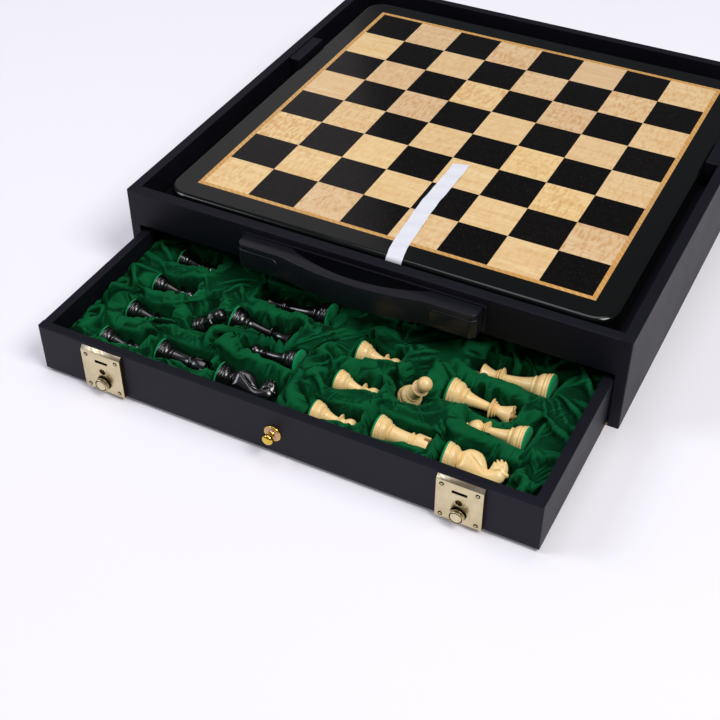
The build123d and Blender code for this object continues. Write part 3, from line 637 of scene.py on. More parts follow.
# ---- studio ----------------------------------------------------------------
@dataclass
class Studio:
    """Floor, lamps and the camera at the photograph's angle."""

    eye: tuple[float, float, float] = (0.4219, -1.0769, 0.7925)
    ahead: tuple[float, float, float] = (-0.3434, 0.6681, -0.6601)
    over: tuple[float, float, float] = (-0.2991, 0.5884, 0.7512)
    lens_mm: float = 64.3
    sensor_mm: float = 36.0
    ambient: float = 0.13
    air_colour: str = "#f2f3ff"
    lamps: tuple[tuple[str, tuple[float, float, float], float, float, str], ...] = (
        ("key_softbox", (2.6, -1.0, 3.6), 1.8, 112.0, "#fffdfa"),
        ("top_softbox", (-0.1, 0.1, 3.8), 2.4, 42.0, "#fbfbff"),
        ("fill_softbox", (-3.0, -1.6, 3.0), 1.8, 55.0, "#f1f4ff"),
        ("left_card", (-1.5, 1.45, 1.3), 1.2, 1.7, "#f8f0f2"),
    )
    aim: tuple[float, float, float] = (0.0, -0.2, 0.05)

    def build(self) -> None:
        """Puts up the floor, the world light, the lamps and the camera."""
        bpy.ops.object.select_all(action="DESELECT")
        bpy.ops.mesh.primitive_plane_add(size=12.0)
        floor = bpy.context.object
        floor.name = "studio_floor"
        paint(floor, StudioSweep("matt_paper_sweep"))
        world = bpy.data.worlds.new("studio_air")
        world.use_nodes = True
        world.node_tree.nodes.clear()
        air = add_node(world.node_tree, "ShaderNodeBackground",
                       {"Color": linear(self.air_colour), "Strength": self.ambient})
        add_node(world.node_tree, "ShaderNodeOutputWorld", {"Surface": air.outputs[0]})
        bpy.context.scene.world = world
        for name, place, size, power, colour in self.lamps:
            self.hang_lamp(name, Vector(place), size, power, colour)
        self.place_camera()
        bpy.context.scene.view_settings.view_transform = "Standard"

    def hang_lamp(self, name: str, place: Vector, size: float, power: float, colour: str) -> None:
        """Hangs one square softbox that faces the object.

        Args:
            name: the lamp's name.
            place: its place in metres.
            size: its side in metres.
            power: its power in watts.
            colour: its sRGB hex colour.
        """
        light = bpy.data.lights.new(name, "AREA")
        light.shape = "SQUARE"
        light.size = size
        light.energy = power
        light.color = linear(colour)[:3]
        lamp = bpy.data.objects.new(name, light)
        lamp.location = place
        lamp.rotation_euler = (Vector(self.aim) - place).to_track_quat("-Z", "Y").to_euler()
        bpy.context.scene.collection.objects.link(lamp)

    def place_camera(self) -> None:
        """Sets up the camera from its place and its two directions."""
        back = -Vector(self.ahead).normalized()
        over = Vector(self.over).normalized()
        right = over.cross(back)
        lens = bpy.data.cameras.new("photo_camera")
        lens.lens = self.lens_mm
        lens.sensor_width = self.sensor_mm
        camera = bpy.data.objects.new("photo_camera", lens)
        turned = Matrix((right, over, back)).transposed().to_4x4()
        camera.matrix_world = Matrix.Translation(self.eye) @ turned
        bpy.context.scene.collection.objects.link(camera)
        bpy.context.scene.camera = camera


# ---- case, board and handle ------------------------------------------------
@dataclass
class CaseAndDrawerPanels:
    """The panels whose solids are right as they are, each with its own finish."""

    finishes: dict[Finish, tuple[str, ...]] = field(default_factory=lambda: {
        LEATHERCLOTH: ("case_left_wall", "case_right_wall", "case_back_wall", "case_front_rail",
                       "board_spacers", "drawer_front", "drawer_left_side", "drawer_right_side",
                       "drawer_back", "board_deck"),
        PLY: ("case_bottom", "drawer_bottom", "deck_cleats", "drawer_stops"),
        STEEL: ("handle_screws", "knob_screw", "lock_catch_left", "lock_catch_right",
                "catch_spring_left", "catch_spring_right"),
        DARK_STEEL: ("lock_housings",),
        AGED_BRASS: ("key_barrels",),
        BLACK_FELT: ("board_pads",),
        LACQUER: ("board_base",),
        Veneer("maple_veneer", Timber.MAPLE, figure_share=0.55, hue_spread=0.012): ("light_squares",),
        Veneer("ebony_veneer", Timber.EBONY, roughness=0.14, speck_share=0.7,
               gloss=0.24): ("dark_squares",),
        Veneer("maple_stringing", Timber.MAPLE_LINE, leaf_mm=120.0, dash_mm=7.0): ("inlay_line",),
    })

    def dress(self) -> None:
        """Gives each panel its finish."""
        for finish, nodes in self.finishes.items():
            for node in nodes:
                paint(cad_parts[node], finish)
                log.info("%s wears %s", node, finish.name)


@dataclass
class LiftingRibbon:
    """The satin ribbon from under the board, round its front edge and over its top."""

    width: float = 16.0
    lift: float = 0.35
    skin: float = 0.3
    rounding: float = 5.5
    front: float = -230.0
    low: float = 71.5
    high: float = 91.5
    tucked: float = 58.0
    cut_slant: float = 5.0
    fold_slant: float = 0.35
    edge_run: float = 8.0
    columns: int = 10
    middle_line: tuple[tuple[float, float], ...] = (
        (20.8, -232.0), (19.6, -222.0), (16.9, -204.8), (15.3, -175.1), (13.2, -149.9), (12.9, -125.0),
        (13.2, -100.9), (13.6, -76.4), (13.0, -58.7))
    folds: tuple[tuple[float, float, float], ...] = (
        (-214.0, 0.7, 5.0), (-196.0, 0.35, 4.0), (-179.0, 0.9, 6.0), (-155.0, 0.5, 4.5), (-131.0, 1.0, 6.5),
        (-106.0, 0.4, 5.0), (-88.0, 0.8, 6.0), (-67.0, 0.35, 4.0))

    def fold_height(self, y: float) -> float:
        """How far the ribbon stands off the board at a place along it."""
        return sum(height * math.exp(-((y - middle) / width) ** 2) for middle, height, width in self.folds)

    def path(self) -> list[Vector]:
        """Points along the ribbon's middle in millimetres, from the tucked end to the cut end."""
        x0 = self.middle_line[0][0]
        r, arc_steps = self.rounding, 8
        low, high, face = self.low - self.lift, self.high + self.lift, self.front - self.lift
        points = [Vector((x0, self.front + self.tucked * (1 - k / 12) + r * k / 12, low))
                  for k in range(12)]
        for centre_z, start in ((low + r, 270.0), (high - r, 180.0)):
            for k in range(arc_steps + 1):
                angle = math.radians(start - 90.0 * k / arc_steps)
                points.append(Vector((x0, face + r + r * math.cos(angle), centre_z + r * math.sin(angle))))
        for a, b in zip(self.middle_line, self.middle_line[1:]):
            for k in range(1, 11):
                share = k / 10
                x, y = a[0] + (b[0] - a[0]) * share, a[1] + (b[1] - a[1]) * share
                if y > face + r + 1.0:
                    points.append(Vector((x, y, high)))
        return points

    def build(self) -> bpy.types.Object:
        """Weaves the ribbon as a grid swept along its path.

        Returns:
            The finished ribbon.
        """
        path = self.path()
        smoothed = list(path)
        for _ in range(5):
            smoothed = [smoothed[0]] + [(smoothed[i - 1] + smoothed[i] * 2 + smoothed[i + 1]) / 4
                                        for i in range(1, len(smoothed) - 1)] + [smoothed[-1]]
        on_top = self.high + 0.5 * self.lift
        bpy.ops.object.select_all(action="DESELECT")
        bpy.ops.mesh.primitive_grid_add(x_subdivisions=self.columns, y_subdivisions=len(path) - 1,
                                        size=1.0, calc_uvs=True)
        ribbon = bpy.context.object
        ribbon.name = "satin_ribbon"
        for vertex in ribbon.data.vertices:
            row = round((vertex.co.y + 0.5) * (len(path) - 1))
            side = vertex.co.x * self.width
            here = smoothed[row]
            slant = self.cut_slant * (side / self.width) * max(0.0, (row - len(path) + 9) / 8)
            lies_flat = here.z > on_top and here.y > self.front + self.edge_run
            rise = self.fold_height(here.y - self.fold_slant * side) if lies_flat else 0.0
            vertex.co = (here + Vector((side, slant, rise))) * MM
        with shaping(ribbon):
            bpy.ops.mesh.select_all(action="SELECT")
            bpy.ops.mesh.normals_make_consistent(inside=False)
        apply_modifier(ribbon, "SOLIDIFY", thickness=self.skin * MM, offset=0.0)
        smooth(ribbon, 50.0)
        paint(ribbon, SatinWeave("white_satin_weave"))
        hand_over(ribbon, "board", ["lifting_ribbon"])
        return ribbon


@dataclass
class CarryHandle:
    """The moulded handle: backing plate, bowed grip and end covers, all with rounded edges."""

    grip_chamfer: float = 2.0
    chamfer_round: float = 0.7
    cover_round: float = 0.9
    plate_round: float = 0.8

    def build(self) -> None:
        """Rounds the edges of each moulding as the mould does."""
        for node, name, widths in (("handle_grip", "bowed_grip", (self.grip_chamfer, self.chamfer_round)),
                                   ("handle_end_covers", "grip_end_covers", (self.cover_round,)),
                                   ("handle_backing_plate", "grip_backing", (self.plate_round,))):
            piece = cad_copy(node, name)
            for number, width in enumerate(widths):
                apply_modifier(piece, "BEVEL", width=width * MM, segments=1 if width > 1.0 else 2,
                               limit_method="ANGLE", angle_limit=math.radians(24.0 if number else 50.0),
                               use_clamp_overlap=True)
            smooth(piece, 25.0)
            paint(piece, PLASTIC)
            hand_over(piece, "case", [node])


# ---- locks and knob --------------------------------------------------------
@dataclass
class PushLock:
    """One brass push-button lock on the drawer's front."""

    side: str
    centre_x: float
    drawer_face: float = -418.0
    plate_width: float = 41.5
    plate_low: float = 4.5
    plate_high: float = 50.5
    plate_depth: float = 3.5
    band: float = 3.2
    button_z: float = 15.0
    button_radius: float = 6.6
    button_proud: float = 5.3
    bezel_radius: float = 7.2
    slot_z: float = 38.3
    slot_size: tuple[float, float] = (13.6, 3.2)
    keyhole_z: float = 27.4
    keyhole_radius: float = 3.2
    rivet_reach: float = 15.75
    rivet_heights: tuple[float, float] = (8.3, 43.0)

    @property
    def plate_face(self) -> float:
        """Where the plate's front face lies along Y."""
        return self.drawer_face - self.plate_depth

    def facing(self, x: float, z: float, y: float) -> Matrix:
        """Turns a piece grown along +Z to stand out of the drawer's front."""
        return Matrix.Translation(Vector((x, y, z)) * MM) @ Matrix.Rotation(math.radians(90), 4, "X")

    def plate(self) -> bpy.types.Object:
        """The pressed plate with its sloping top band, slot, keyhole and button hole."""
        half = self.plate_width / 2
        piece = block(f"lock_plate_{self.side}", (self.centre_x - half, self.plate_face, self.plate_low),
                      (self.centre_x + half, self.drawer_face, self.plate_high))
        with shaping(piece) as mesh:
            bpy.ops.mesh.select_mode(type="EDGE")
            for edge in mesh.edges:
                middle = (edge.verts[0].co + edge.verts[1].co) / 2
                edge.select = middle.y < (self.plate_face + 0.1) * MM and abs(
                    middle.z - self.plate_high * MM) < 0.01 * MM
            bpy.ops.mesh.bevel(offset=self.band * MM, segments=1)
        for tool in self.cutters():
            carve(piece, tool)
        apply_modifier(piece, "BEVEL", width=0.35 * MM, segments=2, limit_method="ANGLE",
                       angle_limit=math.radians(50), use_clamp_overlap=True)
        smooth(piece, 40.0)
        return piece

    def cutters(self) -> list[bpy.types.Object]:
        """Tools for the hasp slot, the keyhole, the button's hole and the plate's hollow back."""
        x, face = self.centre_x, self.plate_face
        depth = (face - 1.0, self.drawer_face + 1.0)
        slot_w, slot_h = self.slot_size[0] / 2, self.slot_size[1] / 2
        slot = block("slot_tool", (x - slot_w, depth[0], self.slot_z - slot_h),
                     (x + slot_w, depth[1], self.slot_z + slot_h))
        keyhole = grow_turning("keyhole_tool", [(self.keyhole_radius, -1.0),
                                                (self.keyhole_radius, self.plate_depth + 1.0)], 32)
        keyhole.data.transform(self.facing(x, self.keyhole_z, self.drawer_face))
        radius = self.button_radius + 0.2
        hole = grow_turning("button_tool", [(radius, -1.0), (radius, self.plate_depth + 1.0)], 48)
        hole.data.transform(self.facing(x, self.button_z, self.drawer_face))
        half, skin = self.plate_width / 2, 1.3
        hollow = block("hollow_tool", (x - half + skin, face + skin, self.plate_low + skin),
                       (x + half - skin, depth[1], self.plate_high - self.band - skin))
        return [slot, keyhole, hole, hollow]

    def button(self) -> bpy.types.Object:
        """The push button: a bright band, a rim, a dark ring and a slightly domed middle."""
        r, top = self.button_radius, self.button_proud + self.plate_depth
        outline = [(r, 1.2), (r, top - 3.4), (r - 0.3, top - 3.3), (r - 0.3, top - 2.7), (r, top - 2.6),
                   (r, top - 1.7), (r - 0.2, top - 1.6), (r - 0.2, top - 1.2), (r, top - 1.1),
                   (r, top - 0.35), (r - 0.25, top), (r - 0.6, top), (r - 0.7, top - 0.1),
                   (r - 0.7, top - 0.7), (r - 1.6, top - 0.7), (r - 1.6, top - 0.25), (r - 1.8, top - 0.06),
                   (r * 0.4, top + 0.02), (0.3, top + 0.03)]
        piece = grow_turning(f"lock_button_{self.side}_turning", outline, 48)
        piece.data.transform(self.facing(self.centre_x, self.button_z, self.drawer_face))
        return piece

    def stain_ring(self, piece: bpy.types.Object, centre_z: float, inner: float, outer: float,
                   behind: float) -> None:
        """Gives the faces of a groove the patinated finish.

        Args:
            piece: the piece with the groove, already painted.
            centre_z: height of the ring's centre.
            inner: inner radius of the groove.
            outer: outer radius of the groove.
            behind: only faces behind this Y are stained.
        """
        piece.data.materials.append(PATINA_AND_SHADE.material())
        centre = Vector((self.centre_x, 0.0, centre_z)) * MM
        for face in piece.data.polygons:
            arm = Vector((face.center.x, 0.0, face.center.z)) - centre
            if inner * MM < arm.length < outer * MM and face.center.y > behind * MM:
                face.material_index = 1

    def bezel(self) -> bpy.types.Object:
        """The round collar that guides the button."""
        inner, outer = self.button_radius + 0.25, self.bezel_radius
        d = self.plate_depth
        outline = [(inner, d - 0.6), (outer, d - 0.6), (outer, d + 0.35), (outer - 0.12, d + 0.5),
                   (inner + 0.1, d + 0.5), (inner, d + 0.35), (inner, d - 0.6)]
        piece = grow_turning(f"lock_bezel_{self.side}", outline, hollow=True)
        piece.data.transform(self.facing(self.centre_x, self.button_z, self.drawer_face))
        smooth(piece, 40.0)
        return piece

    def rivets(self) -> list[bpy.types.Object]:
        """Four rivets, each a small dome in a moat, the moat and the rim round it stained near black: patina
        in the moat and painted shade.
        """
        d = self.plate_depth
        outline = [(2.05, d - 0.2), (2.05, d + 0.1), (1.95, d + 0.2), (1.85, d + 0.16), (1.7, d + 0.04),
                   (1.2, d + 0.04), (1.08, d + 0.3), (0.8, d + 0.45), (0.4, d + 0.55), (0.1, d + 0.57)]
        master = grow_turning("rivet_turning", outline, 24)
        heads = []
        for column, dx in (("l", -self.rivet_reach), ("r", self.rivet_reach)):
            for row, z in zip(("low", "high"), self.rivet_heights):
                place = self.facing(self.centre_x + dx, z, self.drawer_face)
                head = copy_of(master, f"lock_rivet_{self.side}_{column}_{row}", place)
                paint(head, ANTIQUE_BRASS)
                head.data.materials.append(PATINA_AND_SHADE.material())
                centre = place.translation
                # Outside the dome: patina in the moat, with painted shade standing in for its shadow, over
                # the rim too.
                for face in head.data.polygons:
                    arm = math.hypot(face.center.x - centre.x, face.center.z - centre.z)
                    if 1.12 * MM < arm:
                        face.material_index = 1
                smooth(head, 30.0)
                heads.append(head)
        bpy.data.objects.remove(master, do_unlink=True)
        return heads

    def build(self) -> None:
        """Models the lock's pieces and hands them over."""
        plate, bezel = self.plate(), self.bezel()
        for piece, node in ((plate, "lock_plates"), (bezel, "lock_bezels")):
            paint(piece, ANTIQUE_BRASS)
            hand_over(piece, "drawer", [node])
        # The whole bezel is painted near black: painted shade for the dark gap round the button.
        paint(bezel, PATINA_AND_SHADE)
        plate.data.materials.append(BRUSHED_BAND_PAINTED_HIGHLIGHT.material())
        plate.data.materials.append(AGED_BRASS.material())
        for face in plate.data.polygons:
            # Upward-sloping faces, the top band, take the pale brass: a painted highlight.
            if 0.4 < face.normal.z < 0.95 and face.area > 20 * MM * MM:
                face.material_index = 1
            # The plate's left and right sides take the dark brass: painted shade.
            elif abs(face.normal.x) > 0.9 and face.area > 20 * MM * MM:
                face.material_index = 2
        button = self.button()
        paint(button, ANTIQUE_BRASS)
        r = self.button_radius
        front = self.plate_face - self.button_proud
        self.stain_ring(button, self.button_z, r - 1.7, r - 0.65, front + 0.1)
        # The side's grooves and the side behind them, near the plate, take the near-black brass: patina in
        # the grooves, painted shade on the rest of the side.
        for face in button.data.polygons:
            depth = face.center.y / MM - front
            if face.normal.y > -0.7 and (depth > 3.0 or 1.0 < depth < 1.7):
                face.material_index = 1
        smooth(button, 35.0)
        hand_over(button, f"button_{self.side}", [f"lock_button_{self.side}"])
        for head in self.rivets():
            hand_over(head, "drawer", ["lock_rivets"])


@dataclass
class DrawerKnob:
    """The small turned brass pull in the middle of the drawer's front."""

    height: float = 26.0
    drawer_face: float = -418.0
    dish: tuple[float, float] = (3.3, 7.0)
    outline: tuple[tuple[float, float], ...] = (
        (8.1, 0.0), (8.1, 0.9), (7.9, 1.25), (7.5, 1.35), (7.1, 1.15), (6.6, 0.75), (5.6, 0.6), (4.6, 0.75),
        (3.8, 1.3), (3.2, 2.2), (2.85, 3.2), (2.7, 4.2), (2.8, 5.0), (3.2, 5.7), (4.0, 6.4), (4.8, 7.1),
        (5.2, 7.9), (5.3, 8.7), (5.2, 9.5), (4.9, 10.3), (4.35, 11.0), (3.5, 11.5), (2.4, 11.85),
        (1.3, 11.97), (0.3, 12.0))

    def build(self) -> None:
        """Turns the knob and hands it over."""
        knob = grow_turning("brass_knob", self.outline, 48)
        knob.data.transform(Matrix.Translation(Vector((0.0, self.drawer_face, self.height)) * MM)
                            @ Matrix.Rotation(math.radians(90), 4, "X"))
        smooth(knob, 45.0)
        paint(knob, POLISHED_BRASS)
        knob.data.materials.append(ROSE_BRASS.material())
        low, high = self.dish
        for face in knob.data.polygons:
            arm = math.hypot(face.center.x, face.center.z - self.height * MM)
            if low * MM < arm < high * MM and face.center.y > (self.drawer_face - 2.0) * MM:
                face.material_index = 1
        hand_over(knob, "drawer", ["drawer_knob"])


# ---- chessmen --------------------------------------------------------------
class Man(Enum):
    """The men by name, height and foot diameter in millimetres."""

    KING = ("king", 74.0, 30.0)
    QUEEN = ("queen", 64.0, 28.0)
    BISHOP = ("bishop", 56.0, 26.0)
    KNIGHT = ("knight", 56.0, 26.0)
    ROOK = ("rook", 48.0, 26.0)
    PAWN = ("pawn", 42.5, 23.0)


# Outlines: radius as a share of the foot's, height as a share of the man's.
FOOT = ((0.95, 0.014), (0.99, 0.018), (1.0, 0.023), (1.0, 0.032), (0.985, 0.040), (0.94, 0.046),
        (0.93, 0.052), (0.955, 0.057), (0.965, 0.068), (0.94, 0.080), (0.885, 0.088),
        (0.87, 0.094), (0.885, 0.100),
        (0.90, 0.112), (0.89, 0.130), (0.855, 0.150), (0.79, 0.170), (0.70, 0.188), (0.63, 0.200),
        (0.615, 0.206), (0.635, 0.211), (0.655, 0.218), (0.65, 0.228), (0.61, 0.235), (0.565, 0.240))
STEM = ((0.50, 0.28), (0.43, 0.33), (0.375, 0.39), (0.335, 0.45), (0.31, 0.51), (0.295, 0.56), (0.29, 0.60))
COLLAR = ((0.32, 0.606), (0.45, 0.611), (0.60, 0.617), (0.66, 0.626), (0.655, 0.634), (0.58, 0.642),
          (0.46, 0.647), (0.41, 0.653), (0.44, 0.658), (0.52, 0.663), (0.54, 0.670), (0.50, 0.678),
          (0.40, 0.683), (0.36, 0.690), (0.39, 0.695), (0.43, 0.700), (0.43, 0.706), (0.38, 0.712))
CROWNS: dict[Man, tuple[tuple[float, float], ...]] = {
    Man.KING: ((0.35, 0.72), (0.37, 0.745), (0.43, 0.785), (0.51, 0.825), (0.58, 0.856), (0.62, 0.870),
               (0.62, 0.880), (0.57, 0.887), (0.50, 0.889), (0.45, 0.895), (0.35, 0.902), (0.22, 0.907),
               (0.12, 0.909), (0.09, 0.912)),
    Man.QUEEN: ((0.35, 0.72), (0.37, 0.75), (0.44, 0.80), (0.54, 0.85), (0.63, 0.895), (0.68, 0.918),
                (0.69, 0.928), (0.63, 0.931), (0.56, 0.925), (0.50, 0.930), (0.42, 0.944), (0.30, 0.956),
                (0.18, 0.962), (0.10, 0.964), (0.09, 0.968), (0.14, 0.973), (0.165, 0.981), (0.15, 0.991),
                (0.09, 0.998), (0.02, 1.0)),
    Man.BISHOP: ((0.34, 0.72), (0.40, 0.735), (0.49, 0.760), (0.54, 0.790), (0.545, 0.815), (0.51, 0.850),
                 (0.44, 0.885), (0.34, 0.918), (0.23, 0.941), (0.14, 0.950), (0.105, 0.954), (0.15, 0.961),
                 (0.175, 0.971), (0.165, 0.984), (0.11, 0.995), (0.03, 1.0)),
}
ROOK_TOWER = ((0.60, 0.26), (0.585, 0.30), (0.56, 0.36), (0.54, 0.43), (0.53, 0.50), (0.53, 0.57),
              (0.54, 0.62), (0.56, 0.645), (0.62, 0.652), (0.66, 0.662), (0.65, 0.675), (0.57, 0.684),
              (0.55, 0.692), (0.585, 0.715), (0.66, 0.742), (0.72, 0.757), (0.74, 0.775), (0.74, 0.86),
              (0.74, 0.985), (0.72, 1.0), (0.52, 1.0), (0.505, 0.985), (0.50, 0.90), (0.44, 0.885),
              (0.05, 0.88))
# The knight's silhouette and carved lines, sideways and upwards in the same shares.
HORSE = ((0.62, 0.235), (0.68, 0.28), (0.74, 0.34), (0.79, 0.42), (0.84, 0.50), (0.88, 0.58), (0.90, 0.66),
         (0.88, 0.74), (0.80, 0.81), (0.68, 0.87), (0.52, 0.915), (0.34, 0.945), (0.16, 0.955),
         (0.06, 0.955), (0.04, 0.99), (-0.08, 1.0), (-0.20, 0.998), (-0.26, 0.965),
         (-0.40, 0.962), (-0.56, 0.952),
         (-0.72, 0.935), (-0.86, 0.91), (-0.98, 0.875), (-0.80, 0.862), (-0.99, 0.832), (-0.97, 0.80),
         (-0.72, 0.806), (-0.90, 0.768), (-0.84, 0.745), (-0.60, 0.765), (-0.70, 0.722), (-0.50, 0.712),
         (-0.28, 0.706), (-0.09, 0.695), (-0.02, 0.672), (-0.17, 0.655), (-0.45, 0.62), (-0.70, 0.575),
         (-0.88, 0.52), (-0.95, 0.46), (-0.96, 0.39), (-0.91, 0.33), (-0.80, 0.29),
         (-0.68, 0.26), (-0.60, 0.235))
GROOVES = (((-0.52, 0.36), (-0.22, 0.46), (0.04, 0.57), (0.12, 0.66)),
           ((-0.02, 0.71), (0.0, 0.78), (-0.16, 0.85)), ((-0.50, 0.86), (-0.44, 0.88)),
           ((-0.80, 0.89), (-0.78, 0.88)))


@dataclass
class ChessSet:
    """Both colours of men, each lying on its side in its pocket."""

    drawer_left: float = -242.6
    drawer_front: float = -418.0
    drawer_fold: float = 315.5
    axis_height: float = 24.6
    half_shift: float = 219.5
    pawn_column: tuple[float, float] = (40.5, 40.0)
    pawn_pitch: float = 44.1
    pawn_rows: int = 6
    pushed_back: tuple[str, int, float] = ("light", 3, 12.0)  # colour, row and how far
    lying: float = 4.0
    tallest: float = 51.6
    leaning: dict[str, tuple[float, float, float, float]] = field(default_factory=lambda: {
        "dark": (109.3, 98.4, -10.0, -47.0), "light": (102.3, 102.3, -22.0, -57.0)})
    knight_roll: float = -60.0
    carving_voxel: float = 0.45
    swelling: float = 8.5
    groove: float = 1.0
    felt_thickness: float = 0.8
    felt_inset: float = 0.35
    head_shares: dict[Man, float] = field(default_factory=lambda: {
        Man.KING: 0.68, Man.QUEEN: 0.72, Man.BISHOP: 0.68, Man.KNIGHT: 0.96, Man.ROOK: 0.78,
        Man.PAWN: 0.66})

    def places(self) -> list[tuple[Man, str, float, float, float, float]]:
        """Every man with its colour, the place of its foot, its heading and its droop in degrees."""
        low, men = self.lying, []
        column, first = self.pawn_column
        for colour, shift in (("dark", 0.0), ("light", self.half_shift)):
            front = ((Man.PAWN, *self.leaning[colour]), (Man.ROOK, 98.5, 46.7, 0.0, low),
                     (Man.KNIGHT, 163.5, 43.4, 3.0, low), (Man.BISHOP, 218.5, 89.5, 181.0, low))
            moved = [self.pushed_back[2] if (colour, row) == self.pushed_back[:2] else 0.0
                     for row in range(self.pawn_rows)]
            layout = [(Man.PAWN, column, first + row * self.pawn_pitch + moved[row], 0.0, low)
                      for row in range(self.pawn_rows)]
            layout += [*front, (Man.QUEEN, 135.0, 116.4, 0.0, low), (Man.KING, 215.0, 158.7, 182.0, low)]
            layout += [(man, x, self.drawer_fold - y, -heading, droop)
                       for man, x, y, heading, droop in front]
            men += [(man, colour, self.drawer_left + x + shift, self.drawer_front + y, heading, droop)
                    for man, x, y, heading, droop in layout]
        return men

    def foot_height(self, man: Man, droop: float) -> float:
        """Height of the middle of a man's foot when it lies with the given droop."""
        if droop > 0:
            return self.axis_height - man.value[2] / 2 * (1.0 - math.cos(math.radians(droop)))
        ball = 0.3 * man.value[2]
        return self.tallest - ball + (man.value[1] - ball) * math.sin(math.radians(droop))

    def radii(self, man: Man, along: np.ndarray) -> np.ndarray:
        """The widest that a man is near each distance along its axis, carvings and felt included."""
        _, height, foot = man.value
        line = [(foot / 2 - self.felt_inset, -self.felt_thickness)] + self.outline(man)
        if man is Man.KNIGHT:
            line += [(abs(x) * foot / 2, z * height) for x, z in HORSE]
        elif man is Man.KING:
            line += [(foot * 0.14, height * 0.92), (foot * 0.14, height)]
        widest = np.zeros_like(along)
        for (r0, z0), (r1, z1) in zip(line, line[1:]):
            near = (along > min(z0, z1) - 0.6) & (along < max(z0, z1) + 0.6)
            widest = np.where(near, np.maximum(widest, max(r0, r1)), widest)
        return widest

    def outline(self, man: Man) -> list[tuple[float, float]]:
        """The turned outline of a man in millimetres, from the foot up.

        Args:
            man: which man.

        Returns:
            Radius and height pairs.
        """
        _, height, foot = man.value
        r = foot / 2
        squat = {Man.KING: 1.0, Man.QUEEN: 1.08, Man.BISHOP: 1.15, Man.KNIGHT: 1.05, Man.ROOK: 1.22,
                 Man.PAWN: 1.22}[man]
        points = [(a, b * squat) for a, b in FOOT]
        top = points[-1][1]
        if man is Man.KNIGHT:
            points += [(0.60, top + 0.004), (0.62, top + 0.012), (0.58, top + 0.018), (0.30, top + 0.02)]
        elif man is Man.ROOK:
            points += [(a, max(b, top + 0.004 * (i + 1))) for i, (a, b) in enumerate(ROOK_TOWER)]
        elif man is Man.PAWN:
            points += [(0.50, 0.34), (0.42, 0.40), (0.36, 0.46), (0.33, 0.52), (0.33, 0.56), (0.38, 0.575),
                       (0.54, 0.585), (0.66, 0.60), (0.68, 0.612), (0.64, 0.625), (0.50, 0.636),
                       (0.40, 0.645)]
            ball, centre = 0.60, 1.0 - 0.60 * r / height
            start = math.asin(0.36 / ball)
            for k in range(13):
                angle = start + (math.pi - 0.05 - start) * k / 12
                points.append((ball * math.sin(angle), centre - ball * r / height * math.cos(angle)))
        else:
            points += [(a, max(b, top + 0.003 * (i + 1))) for i, (a, b) in enumerate(STEM)]
            points += list(COLLAR) + list(CROWNS[man])
        return [(a * r, b * height) for a, b in points]

    def upright(self, man: Man) -> bpy.types.Object:
        """Models one man standing on the origin, with its carved details."""
        name, height, foot = man.value
        piece = grow_turning(f"{name}_pattern", self.outline(man), 48)
        r = foot / 2
        if man is Man.ROOK:
            for turn in (0.0, 60.0, 120.0):
                notch = block("notch_tool", (-foot, -r * 0.13, height * 0.905),
                              (foot, r * 0.13, height + 1.0))
                notch.data.transform(Matrix.Rotation(math.radians(turn + 20.0), 4, "Z"))
                carve(piece, notch)
        elif man is Man.BISHOP:
            slit = block("slit_tool", (0.0, -r, -0.45), (r, r, 0.45))
            slit.data.transform(Matrix.Translation(Vector((r * 0.08, 0.0, height * 0.80)) * MM)
                                @ Matrix.Rotation(math.radians(-52.0), 4, "Y"))
            carve(piece, slit)
        elif man is Man.QUEEN:
            for turn in range(8):
                scoop = grow_turning("scoop_tool", [(r * 0.16, -r * 0.5), (r * 0.16, r * 0.5)], 12)
                scoop.data.transform(Matrix.Rotation(math.radians(45.0 * turn), 4, "Z")
                                     @ Matrix.Translation(Vector((r * 0.62, 0.0, height * 0.945)) * MM)
                                     @ Matrix.Rotation(math.radians(75.0), 4, "Y"))
                carve(piece, scoop)
        elif man is Man.KING:
            self.join(piece, self.cross(height, r))
        elif man is Man.KNIGHT:
            self.join(piece, self.horse(height, r))
        smooth(piece, 38.0)
        return piece

    def join(self, piece: bpy.types.Object, other: bpy.types.Object) -> None:
        """Joins a further body into a piece."""
        activate(piece)
        other.select_set(True)
        bpy.ops.object.join()

    def cross(self, height: float, r: float) -> bpy.types.Object:
        """The king's finial: a small cross with flared arms on a stalk."""
        top = height * 0.1
        bar = block("cross", (-r * 0.07, -r * 0.07, height - top), (r * 0.07, r * 0.07, height))
        low, high = 0.42, 0.66
        arm = block("cross_arm", (-r * 0.06, -r * 0.25, height - top * high),
                    (r * 0.06, r * 0.25, height - top * low))
        with shaping(arm) as mesh:
            for vert in mesh.verts:
                vert.select = abs(vert.co.y) > r * 0.2 * MM
            bpy.ops.transform.resize(value=(1.0, 1.0, 1.5),
                                     center_override=(0, 0, (height - top * (low + high) / 2) * MM))
        self.join(bar, arm)
        with shaping(bar) as mesh:
            for vert in mesh.verts:
                vert.select = vert.co.z > (height - top * 0.1) * MM
            bpy.ops.transform.resize(value=(1.0, 1.8, 1.0), center_override=(0, 0, height * MM))
        return bar

